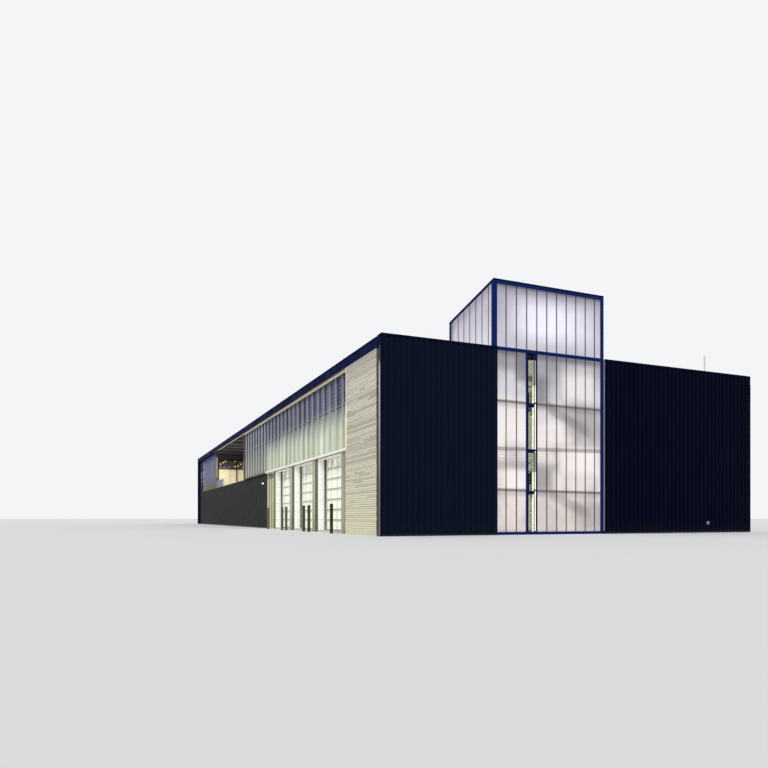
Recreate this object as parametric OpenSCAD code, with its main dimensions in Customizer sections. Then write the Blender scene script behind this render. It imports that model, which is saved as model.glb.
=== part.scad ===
// Fire station building as a scale model at 1:2, in millimetres.
// A dark ribbed box with a translucent stair tower in its front, stone corners,
// a glazed band over three vehicle bays on each long side, and a roofed terrace.
// X runs along the front, Y from the front to the rear, and Z is up from the ground.

/* [Building] */
// Width along the front
building_w = 12875; // [12500:25:13500]
// Length from the front to the rear
building_l = 36900; // [36700:50:38500]
// Height of the walls and their parapet
parapet_h = 5000; // [4900:10:5300]
// Thickness of the ground slab
slab_t = 60; // [40:5:100]
// Level of the upper floor
upper_floor_z = 2300; // [2200:10:2380]
// Thickness of the upper floor
upper_floor_t = 100; // [60:5:150]
// Thickness of the flat roof
roof_t = 120; // [80:5:160]
// Depth of the roof surface below the top of the walls
roof_drop = 120; // [60:5:150]

/* [Ribbed metal walls] */
// Thickness of the ribbed sheet, ribs included
cladding_t = 50; // [40:2:70]
// How far a rib stands out of the sheet
rib_d = 30; // [20:2:36]
// Distance from rib to rib
rib_pitch = 165; // [140:5:240]
// Width of a rib at its crest
rib_crest = 70; // [50:5:80]
// Width of a rib's sloping flank
rib_flank = 12; // [5:1:20]
// Thickness of the wall behind the front sheets
front_core_t = 200; // [150:10:240]
// Thickness of the rear wall with its ribs
rear_t = 250; // [200:10:300]
// Thickness of the side walls with their ribs
side_t = 150; // [120:5:180]
// Thickness of the bright trim at the front corners
corner_trim_t = 18; // [16:2:30]
// Width of that trim along the side
corner_trim_w = 135; // [110:5:180]
// Depth of the open joint between that trim and the stone wall
corner_joint_d = 70; // [40:5:100]

/* [Stair tower] */
// Distance of the tower from the left corner
tower_x = 3265; // [3000:5:3600]
// Width of the tower
tower_w = 3685; // [3500:5:3900]
// Depth of the tower
tower_d = 2450; // [2350:10:2700]
// Height of the tower at the front
tower_h = 6825; // [6600:5:7200]
// Fall of the tower's roof from the front to the back
tower_fall = 510; // [250:5:600]
// Width of the tower's corner posts
tower_post = 110; // [90:5:140]
// How far the left front sheet laps over the corner post
tower_lap = 110; // [90:5:130]
// Height of the sill rail
tower_sill_h = 80; // [60:5:120]
// Height of the transom rail at the parapet
tower_transom_h = 90; // [60:5:120]
// How far the transom stands above the parapet
tower_transom_rise = 25; // [0:5:50]
// Height of the head rail
tower_head_h = 120; // [80:5:160]
// Height of the sloping rails at the sides
tower_rail_h = 70; // [50:5:100]
// Height of the curb above the roof
tower_curb_h = 60; // [40:5:100]
// Thickness of the tower's own roof
tower_roof_t = 50; // [30:5:80]
// Height of the rails behind the panels
girt_h = 90; // [60:5:120]
// Depth of the rails behind the panels
girt_d = 100; // [60:5:140]

/* [Translucent panels] */
// Thickness of a panel
panel_t = 45; // [30:1:60]
// How far a panel lies behind the front of its frame
panel_recess = 15; // [10:1:24]
// Distance from joint to joint
panel_pitch = 330; // [280:2:400]
// Place of the first joint from the left corner of the tower
panel_first = 395; // [320:5:430]
// Place of the first joint in the sides from the front of the tower
side_panel_first = 270; // [200:5:300]
// Width of the batten over a joint
batten_w = 16; // [10:1:24]
// How far a batten stands out
batten_d = 8; // [4:1:9]
// Least distance from a batten to the end of its field
batten_end = 24; // [16:2:40]

/* [Slot window] */
// Distance of the slot window from the corner of the tower
slot_x = 1030; // [1000:10:1100]
// Width of the slot window with its frame
slot_w = 370; // [300:10:400]
// Width of its frame
slot_frame = 76; // [50:2:90]
// Height of its cross bars
slot_bar_h = 40; // [30:2:60]
// Thickness of its glass
slot_glass_t = 12; // [8:1:20]

/* [Stair] */
// Level of the lower half landing
stair_z1 = 1195; // [1100:5:1300]
// Level of the middle landing
stair_z2 = 2330; // [2250:5:2450]
// Level of the upper half landing
stair_z3 = 3580; // [3450:5:3700]
// Width of a half landing along the front
landing_w = 1640; // [1500:10:1700]
// Width of the middle landing beside the tower
middle_landing_w = 700; // [500:10:900]
// Thickness of a landing
landing_t = 75; // [50:5:90]
// Width of a flight
flight_w = 600; // [500:10:750]
// Gap between a flight and the posts beside it
flight_gap = 50; // [30:5:80]
// Height that a riser should have
riser_h = 89; // [80:1:95]
// Depth of a stringer, measured upright
stringer_d = 170; // [150:5:220]
// Thickness of a stringer
stringer_t = 25; // [22:1:40]
// How far a stringer stands above the front edges of the treads
stringer_lip = 15; // [8:1:30]
// Thickness of a tread
tread_t = 20; // [12:1:30]
// Height of a guard above its tread or landing
guard_h = 490; // [450:5:550]
// Thickness of a guard's rails and posts
guard_t = 22; // [14:1:25]

/* [Stone walls] */
// Length of a stone wall along the side
stone_l = 2375; // [2300:25:2600]
// Thickness of a stone wall and of the fascia above it
stone_t = 225; // [210:5:280]

/* [Fascia] */
// Depth of the fascia's upper edge below the top of the front wall
fascia_drop = 35; // [0:5:60]
// Height of the fascia
fascia_h = 270; // [250:5:300]
// Height of the lips along its upper and lower edge
fascia_lip_h = 30; // [20:2:50]
// How far the lips stand out
fascia_lip_d = 10; // [4:1:20]

/* [Glazed band] */
// Level of the band's lower edge and of the side walls' upper edge
band_z = 2400; // [2390:10:2500]
// Distance of the glass from the outer face of the fascia
band_recess = 175; // [150:5:185]
// Thickness of the glass
band_glass_t = 24; // [14:2:24]
// Distance from fin to fin
fin_pitch = 614; // [600:2:616]
// Number of glazed fields
fin_fields = 26; // [24:1:26]
// Width of a fin
fin_w = 30; // [20:2:50]
// How far a fin stands out of the glass
fin_d = 60; // [40:5:90]
// Height of the band's sill
band_sill_h = 70; // [40:5:90]
// Height of the band's head rail
band_head_h = 30; // [20:2:50]
// How far the sill stands out of the glass
band_sill_d = 75; // [60:5:100]
// Level of the thin rail across the band
band_transom_z = 3750; // [3500:10:3900]
// Height of the thin rail across the band
band_transom_h = 24; // [16:2:40]

/* [Vehicle bays] */
// Number of bays on each side
bay_count = 3; // [2:1:3]
// Width of a bay's opening
bay_w = 2375; // [2300:5:2400]
// Width of a pier between bays
pier_w = 625; // [600:5:640]
// Width of the first pier
first_pier_w = 850; // [750:5:900]
// Width of the last pier
last_pier_w = 150; // [100:5:200]
// Depth of the piers
pier_d = 300; // [270:5:350]
// Height of the header over the bays
header_h = 20; // [16:2:40]
// Number of sections in a door
door_sections = 7; // [5:1:8]
// Number of panes in a section
door_panes = 4; // [2:1:6]
// Thickness of a door
door_t = 40; // [30:2:50]
// Width of the rails and stiles around a pane
door_rail = 28; // [20:2:40]
// Thickness of a door's panes
door_pane_t = 10; // [6:1:14]
// Depth and height of the joint between two sections
door_joint = 7; // [4:1:12]

/* [Channel glass walls] */
// Length of a channel glass wall beside the bays
channel_l = 1475; // [1300:25:1500]
// Thickness of the wall, its flanges included
channel_t = 50; // [40:2:60]
// Depth of the flanges
channel_d = 22; // [14:1:30]
// Width of one channel
channel_pitch = 147.5; // [120:0.5:180]
// Width of the joint between two channels
channel_joint = 20; // [12:1:30]
// Width of a flange's sloping flank
channel_flank = 5; // [2:1:8]

/* [Terrace] */
// Length of the terrace
terrace_l = 10150; // [9500:50:10300]
// Depth of the terrace behind the side wall
terrace_d = 2000; // [1800:25:2200]
// Thickness of the walls around it
terrace_wall_t = 150; // [100:5:180]
// Level of the underside of the headers over its windows
terrace_head_z = 4285; // [4100:5:4400]
// Depth of the window frames
terrace_frame_d = 65; // [40:5:80]
// Width of the window frame's members
terrace_frame_w = 60; // [40:2:70]
// Distance from post to post in the back window
terrace_post_pitch = 1150; // [900:10:1400]
// Place of the post in the end window, from the side wall
terrace_end_post = 1200; // [1000:10:1300]
// Thickness of the window glass
terrace_glass_t = 14; // [10:1:20]
// Height of the glass guard above the side wall
terrace_guard_h = 460; // [400:5:500]
// Thickness of the glass guard
terrace_guard_t = 14; // [10:1:20]
// Distance of the glass guard from the wall's outer face
terrace_guard_in = 45; // [30:5:80]
// Distance from rib to rib of its ceiling
ceiling_pitch = 720; // [400:10:900]
// Width of those ribs
ceiling_rib_w = 330; // [200:10:360]
// Depth of those ribs
ceiling_rib_d = 25; // [15:1:30]

/* [Rear corner window] */
// Length of the window at the rear of the left side
corner_window_l = 2250; // [2000:25:2400]
// Width of its frame
corner_frame_w = 46; // [40:2:80]
// Depth of its frame
corner_frame_d = 36; // [24:2:60]
// Level of its lower rail
corner_rail_z1 = 3350; // [3100:10:3500]
// Level of its upper rail
corner_rail_z2 = 4050; // [3800:10:4200]
// Thickness of its glass
corner_glass_t = 20; // [10:1:30]

/* [Fittings] */
// Radius of a guard post
post_r = 50; // [35:1:60]
// Height of a guard post
post_h = 880; // [800:10:1000]
// Distance of a guard post's centre from the fascia's outer face
post_out = 125; // [110:5:150]
// Place of the wall light along the side
wall_light_y = 14120; // [14000:10:15000]
// Level of the wall light
wall_light_z = 1940; // [1800:10:2200]
// Width and height of the wall light
wall_light_w = 115; // [100:5:160]
// Height of the wall light's front edge
wall_light_lip = 22; // [10:2:40]
// How far the wall light's underside rises to its front edge
wall_light_rise = 44; // [20:2:60]
// Distance of the wall box from the right front corner
wall_box_in = 1845; // [1500:5:2200]
// Level of the wall box
wall_box_z = 260; // [200:10:400]
// Width and height of the wall box
wall_box_w = 90; // [70:5:120]
// How far the wall box stands out
wall_box_d = 30; // [20:2:50]
// Distance of the roof mast from the right side
mast_in = 1330; // [1200:10:1600]
// Distance of the roof mast from the front
mast_y = 600; // [400:10:1200]
// Height of the roof mast above the roof
mast_h = 785; // [650:5:900]
// Radius of the roof mast
mast_r = 22; // [15:1:30]
// Radius of the mast's base plate
mast_base_r = 66; // [50:1:90]
// Thickness of the mast's base plate
mast_base_h = 22; // [15:1:30]

/* [Hidden] */
$fn = 48;

// Levels
soffit_z = parapet_h - fascia_drop - fascia_h;
roof_z = parapet_h - roof_drop;
roof_under_z = roof_z - roof_t;
header_z = band_z - header_h;

// Places along the long sides, from the front
front_t = cladding_t + front_core_t;
bays_y = front_t + stone_l;
first_bay_y = bays_y + first_pier_w;
bay_pitch = bay_w + pier_w;
last_pier_y = first_bay_y + bay_count * bay_pitch - pier_w;
channel_y = last_pier_y + last_pier_w;
lower_wall_y = channel_y + channel_l;
terrace_y = bays_y + fin_pitch * fin_fields;
far_panels_y = terrace_y + terrace_l;
rear_y = building_l - rear_t;
corner_window_y = rear_y - corner_window_l;

// Places across the long sides, from the fascia's outer face
glass_back = band_recess + band_glass_t;
pier_back = band_recess + pier_d;
side_back = band_recess + side_t;
terrace_back = band_recess + terrace_d;

// Tower, from its own left front corner
tower_in_w = tower_w - 2 * tower_post;
tower_back_h = tower_h - tower_fall;
tower_transom_z = parapet_h + tower_transom_rise - tower_transom_h;
slot_z = tower_sill_h;
slot_h = tower_transom_z - tower_sill_h;
girt_y = panel_recess + panel_t;
stair_front_y = girt_y + girt_d;
stair_back_y = tower_d - tower_post;
landing_edge_x = tower_post + landing_w;
flight_run = tower_w - tower_post - landing_edge_x;

// Sizes of one section of a bay's door
door_h = header_z - slab_t;
section_h = door_h / door_sections;
pane_w = (bay_w - (door_panes + 1) * door_rail) / door_panes;
pane_h = section_h - 2 * door_rail;

// Origin of the building's own places: its left front corner on the ground
module building() translate([-building_w / 2, -building_l / 2, 0]) children();

// The right side is the left one, mirrored in the building's long middle plane
module on_right() mirror([1, 0, 0]) children();

module both_sides() {
    children();
    on_right() children();
}

module at_tower() building() translate([tower_x, cladding_t, 0]) children();

// A profile drawn in Y and Z, made t thick along X
module yz_plate(t) rotate([90, 0, 90]) linear_extrude(t) children();

// A profile drawn in X and Z, made t thick along Y
module xz_plate(t) translate([0, t, 0]) rotate([90, 0, 0]) linear_extrude(t) children();

// Outline of a ribbed sheet along X: ribs reach Y = 0, and its back is at Y = thick
function rib_outline(run, thick, pitch, crest, flank, depth) =
    let (
        count = floor(run / pitch),
        first = (run - count * pitch) / 2 + (pitch - crest - 2 * flank) / 2
    )
    concat(
        [[0, thick], [0, depth]],
        [for (i = [0 : count - 1], p = [
            [0, depth], [flank, 0], [flank + crest, 0], [2 * flank + crest, depth]
        ]) [first + i * pitch + p[0], p[1]]],
        [[run, depth], [run, thick]]
    );

module ribbed_sheet(run, thick, height)
    linear_extrude(height) polygon(rib_outline(run, thick, rib_pitch, rib_crest, rib_flank, rib_d));

// The same sheet standing along Y, with its ribs towards -X
module ribbed_side(run, thick, height)
    translate([0, run, 0]) rotate([0, 0, -90]) ribbed_sheet(run, thick, height);

// Slab inside the walls, with a threshold in each bay
module ground_slab() color("gray") building() linear_extrude(slab_t) {
    translate([tower_x + tower_post, cladding_t + tower_post])
        square([tower_in_w, front_core_t - tower_post]);
    translate([stone_t, front_t]) square([building_w - 2 * stone_t, stone_l]);
    translate([pier_back, bays_y]) square([building_w - 2 * pier_back, last_pier_y + last_pier_w - bays_y]);
    for (x = [band_recess, building_w - pier_back], i = [0 : bay_count - 1])
        translate([x, first_bay_y + i * bay_pitch]) square([pier_d, bay_w]);
    translate([band_recess + channel_t, channel_y])
        square([building_w - 2 * (band_recess + channel_t), channel_l]);
    translate([side_back, lower_wall_y]) square([building_w - 2 * side_back, rear_y - lower_wall_y]);
}

module upper_floor() color("gray") building()
    translate([side_back, lower_wall_y, upper_floor_z - upper_floor_t])
        cube([building_w - 2 * side_back, rear_y - lower_wall_y, upper_floor_t]);

module roof_deck() color("dimgray") building() translate([0, 0, roof_under_z]) linear_extrude(roof_t)
    difference() {
        translate([stone_t, front_t]) square([building_w - 2 * stone_t, rear_y - front_t]);
        translate([tower_x, 0]) square([tower_w, cladding_t + tower_d]);
    }

// Box of bent sheet with a lip along its upper and its lower edge, thinner beside the front wall
module fascia() building() translate([0, 0, soffit_z]) difference() {
    translate([0, rear_y, 0]) rotate([90, 0, 0]) linear_extrude(rear_y) difference() {
        square([stone_t, fascia_h]);
        translate([0, fascia_lip_h]) square([fascia_lip_d, fascia_h - 2 * fascia_lip_h]);
    }
    translate([corner_trim_t, 0, 0]) cube([stone_t, front_t, fascia_h]);
}

module fascias() color("midnightblue") both_sides() fascia();

module front_core(from, to) building()
    translate([from, cladding_t, 0]) cube([to - from, front_core_t, parapet_h]);

// Wall behind the front sheets, with an open joint between each corner trim and its stone wall
module front_walls() color("darkslategray") difference() {
    union() {
        front_core(corner_trim_t, tower_x);
        front_core(tower_x + tower_w, building_w - corner_trim_t);
    }
    both_sides() building() translate([0, corner_trim_w, 0])
        cube([corner_joint_d, front_t - corner_trim_w, soffit_z]);
}

module front_sheet(from, to) building() translate([from, 0, 0])
    ribbed_sheet(to - from, cladding_t, parapet_h);

module front_cladding() color("black") {
    front_sheet(corner_trim_t, tower_x + tower_lap);
    front_sheet(tower_x + tower_w, building_w - corner_trim_t);
}

module corner_trims() color("silver") both_sides() building()
    cube([corner_trim_t, corner_trim_w, soffit_z]);

module rear_wall() color("black") building() translate([building_w, building_l, 0])
    rotate([0, 0, 180]) ribbed_sheet(building_w, rear_t, parapet_h);

// Stair tower: its outline seen from the side, with the roof falling to the back
module tower_outline() polygon([[0, 0], [tower_d, 0], [tower_d, tower_back_h], [0, tower_h]]);

// Strip of that outline just under the roof
module tower_top_strip(h) difference() {
    tower_outline();
    translate([0, -h]) tower_outline();
}

module tower_side_frame(beams) yz_plate(tower_post) intersection() {
    tower_outline();
    union() {
        square([tower_post, tower_h]);
        translate([tower_d - tower_post, slab_t]) square([tower_post, tower_h]);
        translate([0, roof_under_z]) square([tower_d, roof_t + tower_curb_h]);
        tower_top_strip(tower_rail_h);
        for (z = beams) translate([0, z - girt_h]) square([tower_d, girt_h]);
    }
}

// Rail between the side frames, cut to the slope of the roof
module tower_rail(y, z, d, h) translate([tower_post, 0, 0]) yz_plate(tower_in_w) intersection() {
    tower_outline();
    translate([y, z]) square([d, h]);
}

module tower_frame() color("midnightblue") at_tower() {
    tower_side_frame([stair_z1, stair_z3]);
    translate([tower_w - tower_post, 0, 0]) tower_side_frame([stair_z2]);
    tower_rail(0, 0, tower_post, tower_sill_h);
    tower_rail(0, tower_transom_z, tower_post, tower_transom_h);
    tower_rail(0, tower_h - tower_head_h, tower_post, tower_head_h);
    for (z = [stair_z1, stair_z2, stair_z3]) tower_rail(girt_y, z - girt_h, girt_d, girt_h);
    tower_rail(tower_d - tower_post, roof_under_z, tower_post, roof_t + tower_curb_h);
    tower_rail(tower_d - tower_post, tower_back_h - tower_rail_h, tower_post, tower_head_h);
}

// Joints between panels that lie inside a field from a to b
function joints(first, a, b) = [
    for (x = [first : panel_pitch : b]) if (x > a + batten_end && x < b - batten_end) x
];

// Upright panels with a batten over each joint, in a field of the front from a to b
module panel_field(a, b, z, h) translate([0, 0, z]) linear_extrude(h) {
    translate([a, panel_recess]) square([b - a, panel_t]);
    for (x = joints(panel_first, a, b))
        translate([x - batten_w / 2, panel_recess - batten_d]) square([batten_w, batten_d + panel_t]);
}

module tower_lower_panels() color("whitesmoke") at_tower() {
    panel_field(tower_post, slot_x, tower_sill_h, tower_transom_z - tower_sill_h);
    panel_field(slot_x + slot_w, tower_w - tower_post, tower_sill_h, tower_transom_z - tower_sill_h);
}

module tower_upper_panels() color("whitesmoke") at_tower()
    panel_field(tower_post, tower_w - tower_post, tower_transom_z + tower_transom_h,
        tower_h - tower_head_h - tower_transom_z - tower_transom_h);

// Upright panels in a side of the tower, between the curb and the sloping rail
module side_panel_field() intersection() {
    yz_plate(tower_post) difference() {
        translate([tower_post, roof_z + tower_curb_h])
            square([tower_d - 2 * tower_post, tower_h - roof_z]);
        translate([0, tower_h]) square([tower_d, tower_h]);
        difference() {
            square([tower_d, 2 * tower_h]);
            translate([0, -tower_rail_h]) tower_outline();
        }
    }
    translate([0, 0, roof_z]) linear_extrude(tower_h) {
        translate([panel_recess, 0]) square([panel_t, tower_d]);
        for (y = joints(side_panel_first, tower_post, tower_d - tower_post))
            translate([panel_recess - batten_d, y - batten_w / 2]) square([batten_d + panel_t, batten_w]);
    }
}

module tower_side_panels() color("whitesmoke") at_tower() {
    side_panel_field();
    translate([tower_w, 0, 0]) mirror([1, 0, 0]) side_panel_field();
    translate([tower_w, tower_d, 0]) rotate([0, 0, 180])
        panel_field(tower_post, tower_w - tower_post, roof_z + tower_curb_h,
            tower_back_h - tower_rail_h - roof_z - tower_curb_h);
}

module tower_roof() color("dimgray") at_tower() translate([tower_post, 0, 0]) yz_plate(tower_in_w)
    intersection() {
        tower_top_strip(tower_roof_t);
        translate([tower_post, 0]) square([tower_d - 2 * tower_post, tower_h]);
    }

// Slot window in the front of the tower, with a cross bar at each landing
module slot_window_frame() color("midnightblue") at_tower() translate([slot_x, 0, 0]) xz_plate(girt_y)
    difference() {
        translate([0, slot_z]) square([slot_w, slot_h]);
        difference() {
            translate([slot_frame, slot_z]) square([slot_w - 2 * slot_frame, slot_h]);
            for (z = [stair_z1, stair_z2, stair_z3])
                translate([0, z - slot_bar_h]) square([slot_w, slot_bar_h]);
        }
    }

module slot_window_glass() color("lightblue") at_tower()
    translate([slot_x + slot_frame, panel_recess, 0]) xz_plate(slot_glass_t)
        for (field = [
            [slot_z, stair_z1 - slot_bar_h], [stair_z1, stair_z2 - slot_bar_h],
            [stair_z2, stair_z3 - slot_bar_h], [stair_z3, tower_transom_z]
        ]) translate([0, field[0]]) square([slot_w - 2 * slot_frame, field[1] - field[0]]);

// Stair: its back wall closes the tower towards the building
module stair_back_wall() color("wheat") at_tower() translate([tower_post, stair_back_y, slab_t])
    cube([tower_in_w, tower_post, roof_under_z - slab_t]);

// Half landings at the left of the tower, and the middle landing beside it at the right
module stair_landings() color("gray") at_tower() {
    for (z = [stair_z1, stair_z3])
        translate([tower_post, stair_front_y, z - landing_t])
            cube([landing_w, stair_back_y - stair_front_y, landing_t]);
    translate([tower_w, front_core_t, stair_z2 - landing_t])
        cube([middle_landing_w, stair_back_y - front_core_t, landing_t]);
}

function riser_count(rise) = round(rise / riser_h);

// Fall of the stair from tread to tread, for each length along the flight
function stair_slope(rise) = (rise - rise / riser_count(rise)) / flight_run;

// Level of a stringer's upper edge, at x from the upper end of the flight
function stringer_top(rise, x) = rise + stringer_lip - x * stair_slope(rise);

// One stringer, seen from the front, for a flight that rises to the left from x = flight_run to x = 0
module stringer_outline(rise) {
    foot = (rise + stringer_lip - stringer_d) / stair_slope(rise);
    polygon([
        [flight_run, 0], [flight_run, stringer_top(rise, flight_run)],
        [0, stringer_top(rise, 0)], [0, stringer_top(rise, 0) - stringer_d], [foot, 0]
    ]);
}

module treads(rise) {
    count = riser_count(rise);
    riser = rise / count;
    going = flight_run / (count - 1);
    for (i = [1 : count - 1])
        translate([flight_run - i * going, 0, i * riser - tread_t]) cube([going, flight_w, tread_t]);
}

module flight(rise) {
    treads(rise);
    for (y = [0, flight_w - stringer_t]) translate([0, y, 0]) xz_plate(stringer_t) stringer_outline(rise);
}

// Front lane: the flights that rise to the left. Back lane: the one that rises to the right
module front_lane(z) at_tower() translate([landing_edge_x, stair_front_y + flight_gap, z]) children();

module back_lane(z) at_tower()
    translate([landing_edge_x + flight_run, stair_back_y - flight_gap - flight_w, z])
        mirror([1, 0, 0]) children();

module stair_flight_1() color("slategray") front_lane(slab_t) flight(stair_z1 - slab_t);
module stair_flight_2() color("slategray") back_lane(stair_z1) flight(stair_z2 - stair_z1);
module stair_flight_3() color("slategray") front_lane(stair_z2) flight(stair_z3 - stair_z2);

// Guard along a flight: posts on the stringer, a rail at half height and a handrail
module flight_guard(rise) xz_plate(guard_t) {
    end = flight_run;
    for (lift = [guard_h / 2, guard_h])
        polygon([
            [end, stringer_top(rise, end) + lift - guard_t], [end, stringer_top(rise, end) + lift],
            [0, stringer_top(rise, 0) + lift], [0, stringer_top(rise, 0) + lift - guard_t]
        ]);
    for (x = [0, (end - guard_t) / 2, end - guard_t])
        polygon([
            [x, stringer_top(rise, x)], [x + guard_t, stringer_top(rise, x + guard_t)],
            [x + guard_t, stringer_top(rise, x + guard_t) + guard_h], [x, stringer_top(rise, x) + guard_h]
        ]);
}

// Guard along a landing's edge, drawn along X
module landing_guard(run) xz_plate(guard_t) difference() {
    square([run, guard_h]);
    for (z = [0, guard_h / 2])
        translate([guard_t, z]) square([run - 2 * guard_t, guard_h / 2 - guard_t]);
}

module stair_guards() color("slategray") {
    front_lane(slab_t) translate([0, flight_w - guard_t, 0]) flight_guard(stair_z1 - slab_t);
    back_lane(stair_z1) flight_guard(stair_z2 - stair_z1);
    front_lane(stair_z2) translate([0, flight_w - guard_t, 0]) flight_guard(stair_z3 - stair_z2);
    for (z = [stair_z1, stair_z3]) at_tower() translate([tower_post, stair_front_y, z])
        landing_guard(landing_w - guard_t);
    for (z = [stair_z1, stair_z3]) at_tower()
        translate([landing_edge_x, stair_front_y + 2 * flight_gap + flight_w, z]) rotate([0, 0, 90])
            landing_guard(stair_back_y - stair_front_y - 4 * flight_gap - 2 * flight_w);
}

// Long sides, drawn on the left and mirrored for the right
module stone_walls() color("wheat") both_sides() building() translate([0, front_t, 0])
    cube([stone_t, stone_l, soffit_z]);

module band_glass() color("lightblue") both_sides() building() translate([band_recess, bays_y, band_z])
    cube([band_glass_t, terrace_y - bays_y, soffit_z - band_z]);

// Sill, head, thin rail and upright fins, all in front of the glass
module band_fins() color("lightgray") both_sides() building() translate([band_recess, bays_y, 0]) {
    band_l = terrace_y - bays_y;
    translate([-band_sill_d, 0, band_z]) cube([band_sill_d, band_l, band_sill_h]);
    translate([-fin_d, 0, soffit_z - band_head_h]) cube([fin_d, band_l, band_head_h]);
    translate([-fin_d / 2, 0, band_transom_z]) cube([fin_d / 2, band_l, band_transom_h]);
    for (i = [0 : fin_fields])
        translate([-fin_d, min(max(i * fin_pitch - fin_w / 2, 0), band_l - fin_w), band_z])
            cube([fin_d, fin_w, soffit_z - band_z]);
}

// Piers from the ground and the header that they carry
module bay_piers() color("darkkhaki") both_sides() building() translate([band_recess, bays_y, 0])
    yz_plate(pier_d) difference() {
        square([lower_wall_y - bays_y, band_z]);
        for (i = [0 : bay_count - 1])
            translate([first_pier_w + i * bay_pitch, 0]) square([bay_w, header_z]);
        translate([channel_y - bays_y, 0]) square([channel_l, header_z]);
    }

// A door stands on the threshold of its bay
module in_bay(i) building()
    translate([pier_back - door_t, first_bay_y + (i - 1) * bay_pitch, slab_t]) children();

module pane_grid() for (row = [0 : door_sections - 1], column = [0 : door_panes - 1])
    translate([door_rail + column * (pane_w + door_rail), row * section_h + door_rail])
        square([pane_w, pane_h]);

// Sectional doors, with their panes cut out and the joints of their sections
module bay_doors() for (i = [1 : bay_count]) in_bay(i) difference() {
    yz_plate(door_t - door_pane_t) difference() {
        square([bay_w, door_h]);
        pane_grid();
    }
    for (row = [1 : door_sections - 1])
        translate([-door_joint, 0, row * section_h - door_joint / 2])
            cube([2 * door_joint, bay_w, door_joint]);
}

module bay_doors_left() color("white") bay_doors();
module bay_doors_right() color("white") on_right() bay_doors();

// One sheet of glass behind each door closes all its panes
module bay_door_panes() color("lightblue") both_sides() for (i = [1 : bay_count])
    in_bay(i) translate([door_t - door_pane_t, 0, 0]) cube([door_pane_t, bay_w, door_h]);

// Channels of glass that stand side by side, their flanges outwards
module channel_walls() color("beige") both_sides() building()
    translate([band_recess, channel_y + channel_l, 0]) rotate([0, 0, -90]) linear_extrude(header_z)
        polygon(rib_outline(channel_l, channel_t, channel_pitch, channel_joint, channel_flank, channel_d));

module lower_walls() color("black") both_sides() building() translate([band_recess, lower_wall_y, 0])
    ribbed_side(rear_y - lower_wall_y, side_t, band_z);

module upper_panels(from, to) building() translate([band_recess, from, band_z])
    ribbed_side(to - from, side_t, soffit_z - band_z);

module far_panels_left() color("lightslategray") upper_panels(far_panels_y, corner_window_y);
module upper_panels_right() color("lightslategray") on_right() upper_panels(terrace_y, rear_y);

// Terrace in the upper storey of the left side
module terrace_walls() color("dimgray") building() {
    translate([glass_back, terrace_y - terrace_wall_t, upper_floor_z])
        cube([terrace_back + terrace_wall_t - glass_back, terrace_wall_t, soffit_z - upper_floor_z]);
    translate([terrace_back, terrace_y, terrace_head_z])
        cube([terrace_wall_t, terrace_l + terrace_wall_t, soffit_z - terrace_head_z]);
    translate([side_back, far_panels_y, terrace_head_z])
        cube([terrace_back - side_back, terrace_wall_t, soffit_z - terrace_head_z]);
}

// Places of posts that share a window's run evenly
function even_posts(run) =
    let (fields = ceil((run - terrace_frame_w) / terrace_post_pitch))
    [for (i = [1 : fields - 1]) i * (run - terrace_frame_w) / fields];

// Frame of posts between a sill and a head, drawn in a plane with its length along the first axis
module window_grid(run, posts) difference() {
    square([run, terrace_head_z - upper_floor_z]);
    edges = concat([0], posts, [run - terrace_frame_w]);
    for (i = [0 : len(posts)])
        translate([edges[i] + terrace_frame_w, terrace_frame_w])
            square([
                edges[i + 1] - edges[i] - terrace_frame_w,
                terrace_head_z - upper_floor_z - 2 * terrace_frame_w
            ]);
}

module terrace_window_frame() color("black") building() {
    translate([terrace_back, terrace_y, upper_floor_z])
        yz_plate(terrace_frame_d)
            window_grid(terrace_l + terrace_frame_d, even_posts(terrace_l + terrace_frame_d));
    translate([side_back, far_panels_y, upper_floor_z])
        xz_plate(terrace_frame_d) window_grid(terrace_back - side_back, [terrace_end_post]);
}

module terrace_window_glass() color("lightblue") building() {
    translate([terrace_back + terrace_frame_d, terrace_y, upper_floor_z])
        cube([terrace_glass_t, terrace_l + terrace_frame_d, terrace_head_z - upper_floor_z]);
    translate([side_back, far_panels_y + terrace_frame_d, upper_floor_z])
        cube([terrace_back + terrace_frame_d + terrace_glass_t - side_back, terrace_glass_t,
            terrace_head_z - upper_floor_z]);
}

// Ribbed ceiling under the roof, its ribs downwards and across the terrace
module terrace_ceiling() color("dimgray") building()
    translate([stone_t, terrace_y, soffit_z]) yz_plate(terrace_back - stone_t)
        polygon(rib_outline(terrace_l, roof_under_z - soffit_z, ceiling_pitch, ceiling_rib_w, rib_flank,
            ceiling_rib_d));

module terrace_guard() color("lightblue") building()
    translate([band_recess + terrace_guard_in, terrace_y, band_z])
        cube([terrace_guard_t, terrace_l, terrace_guard_h]);

// Window at the rear end of the left side
module corner_window_frame() color("black") building()
    translate([band_recess, corner_window_y, band_z]) yz_plate(corner_frame_d) {
        difference() {
            square([corner_window_l, soffit_z - band_z]);
            translate([corner_frame_w, corner_frame_w])
                square([corner_window_l - 2 * corner_frame_w, soffit_z - band_z - 2 * corner_frame_w]);
        }
        translate([(corner_window_l - corner_frame_w) / 2, 0]) square([corner_frame_w, soffit_z - band_z]);
        for (z = [corner_rail_z1, corner_rail_z2])
            translate([0, z - band_z]) square([corner_window_l, corner_frame_w]);
    }

module corner_window_glass() color("lightblue") building()
    translate([band_recess + corner_frame_d, corner_window_y, band_z])
        cube([corner_glass_t, corner_window_l, soffit_z - band_z]);

// Posts that guard the jambs of the bays, with a round top
module guard_post() {
    cylinder(r = post_r, h = post_h - post_r);
    translate([0, 0, post_h - post_r]) sphere(r = post_r);
}

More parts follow.
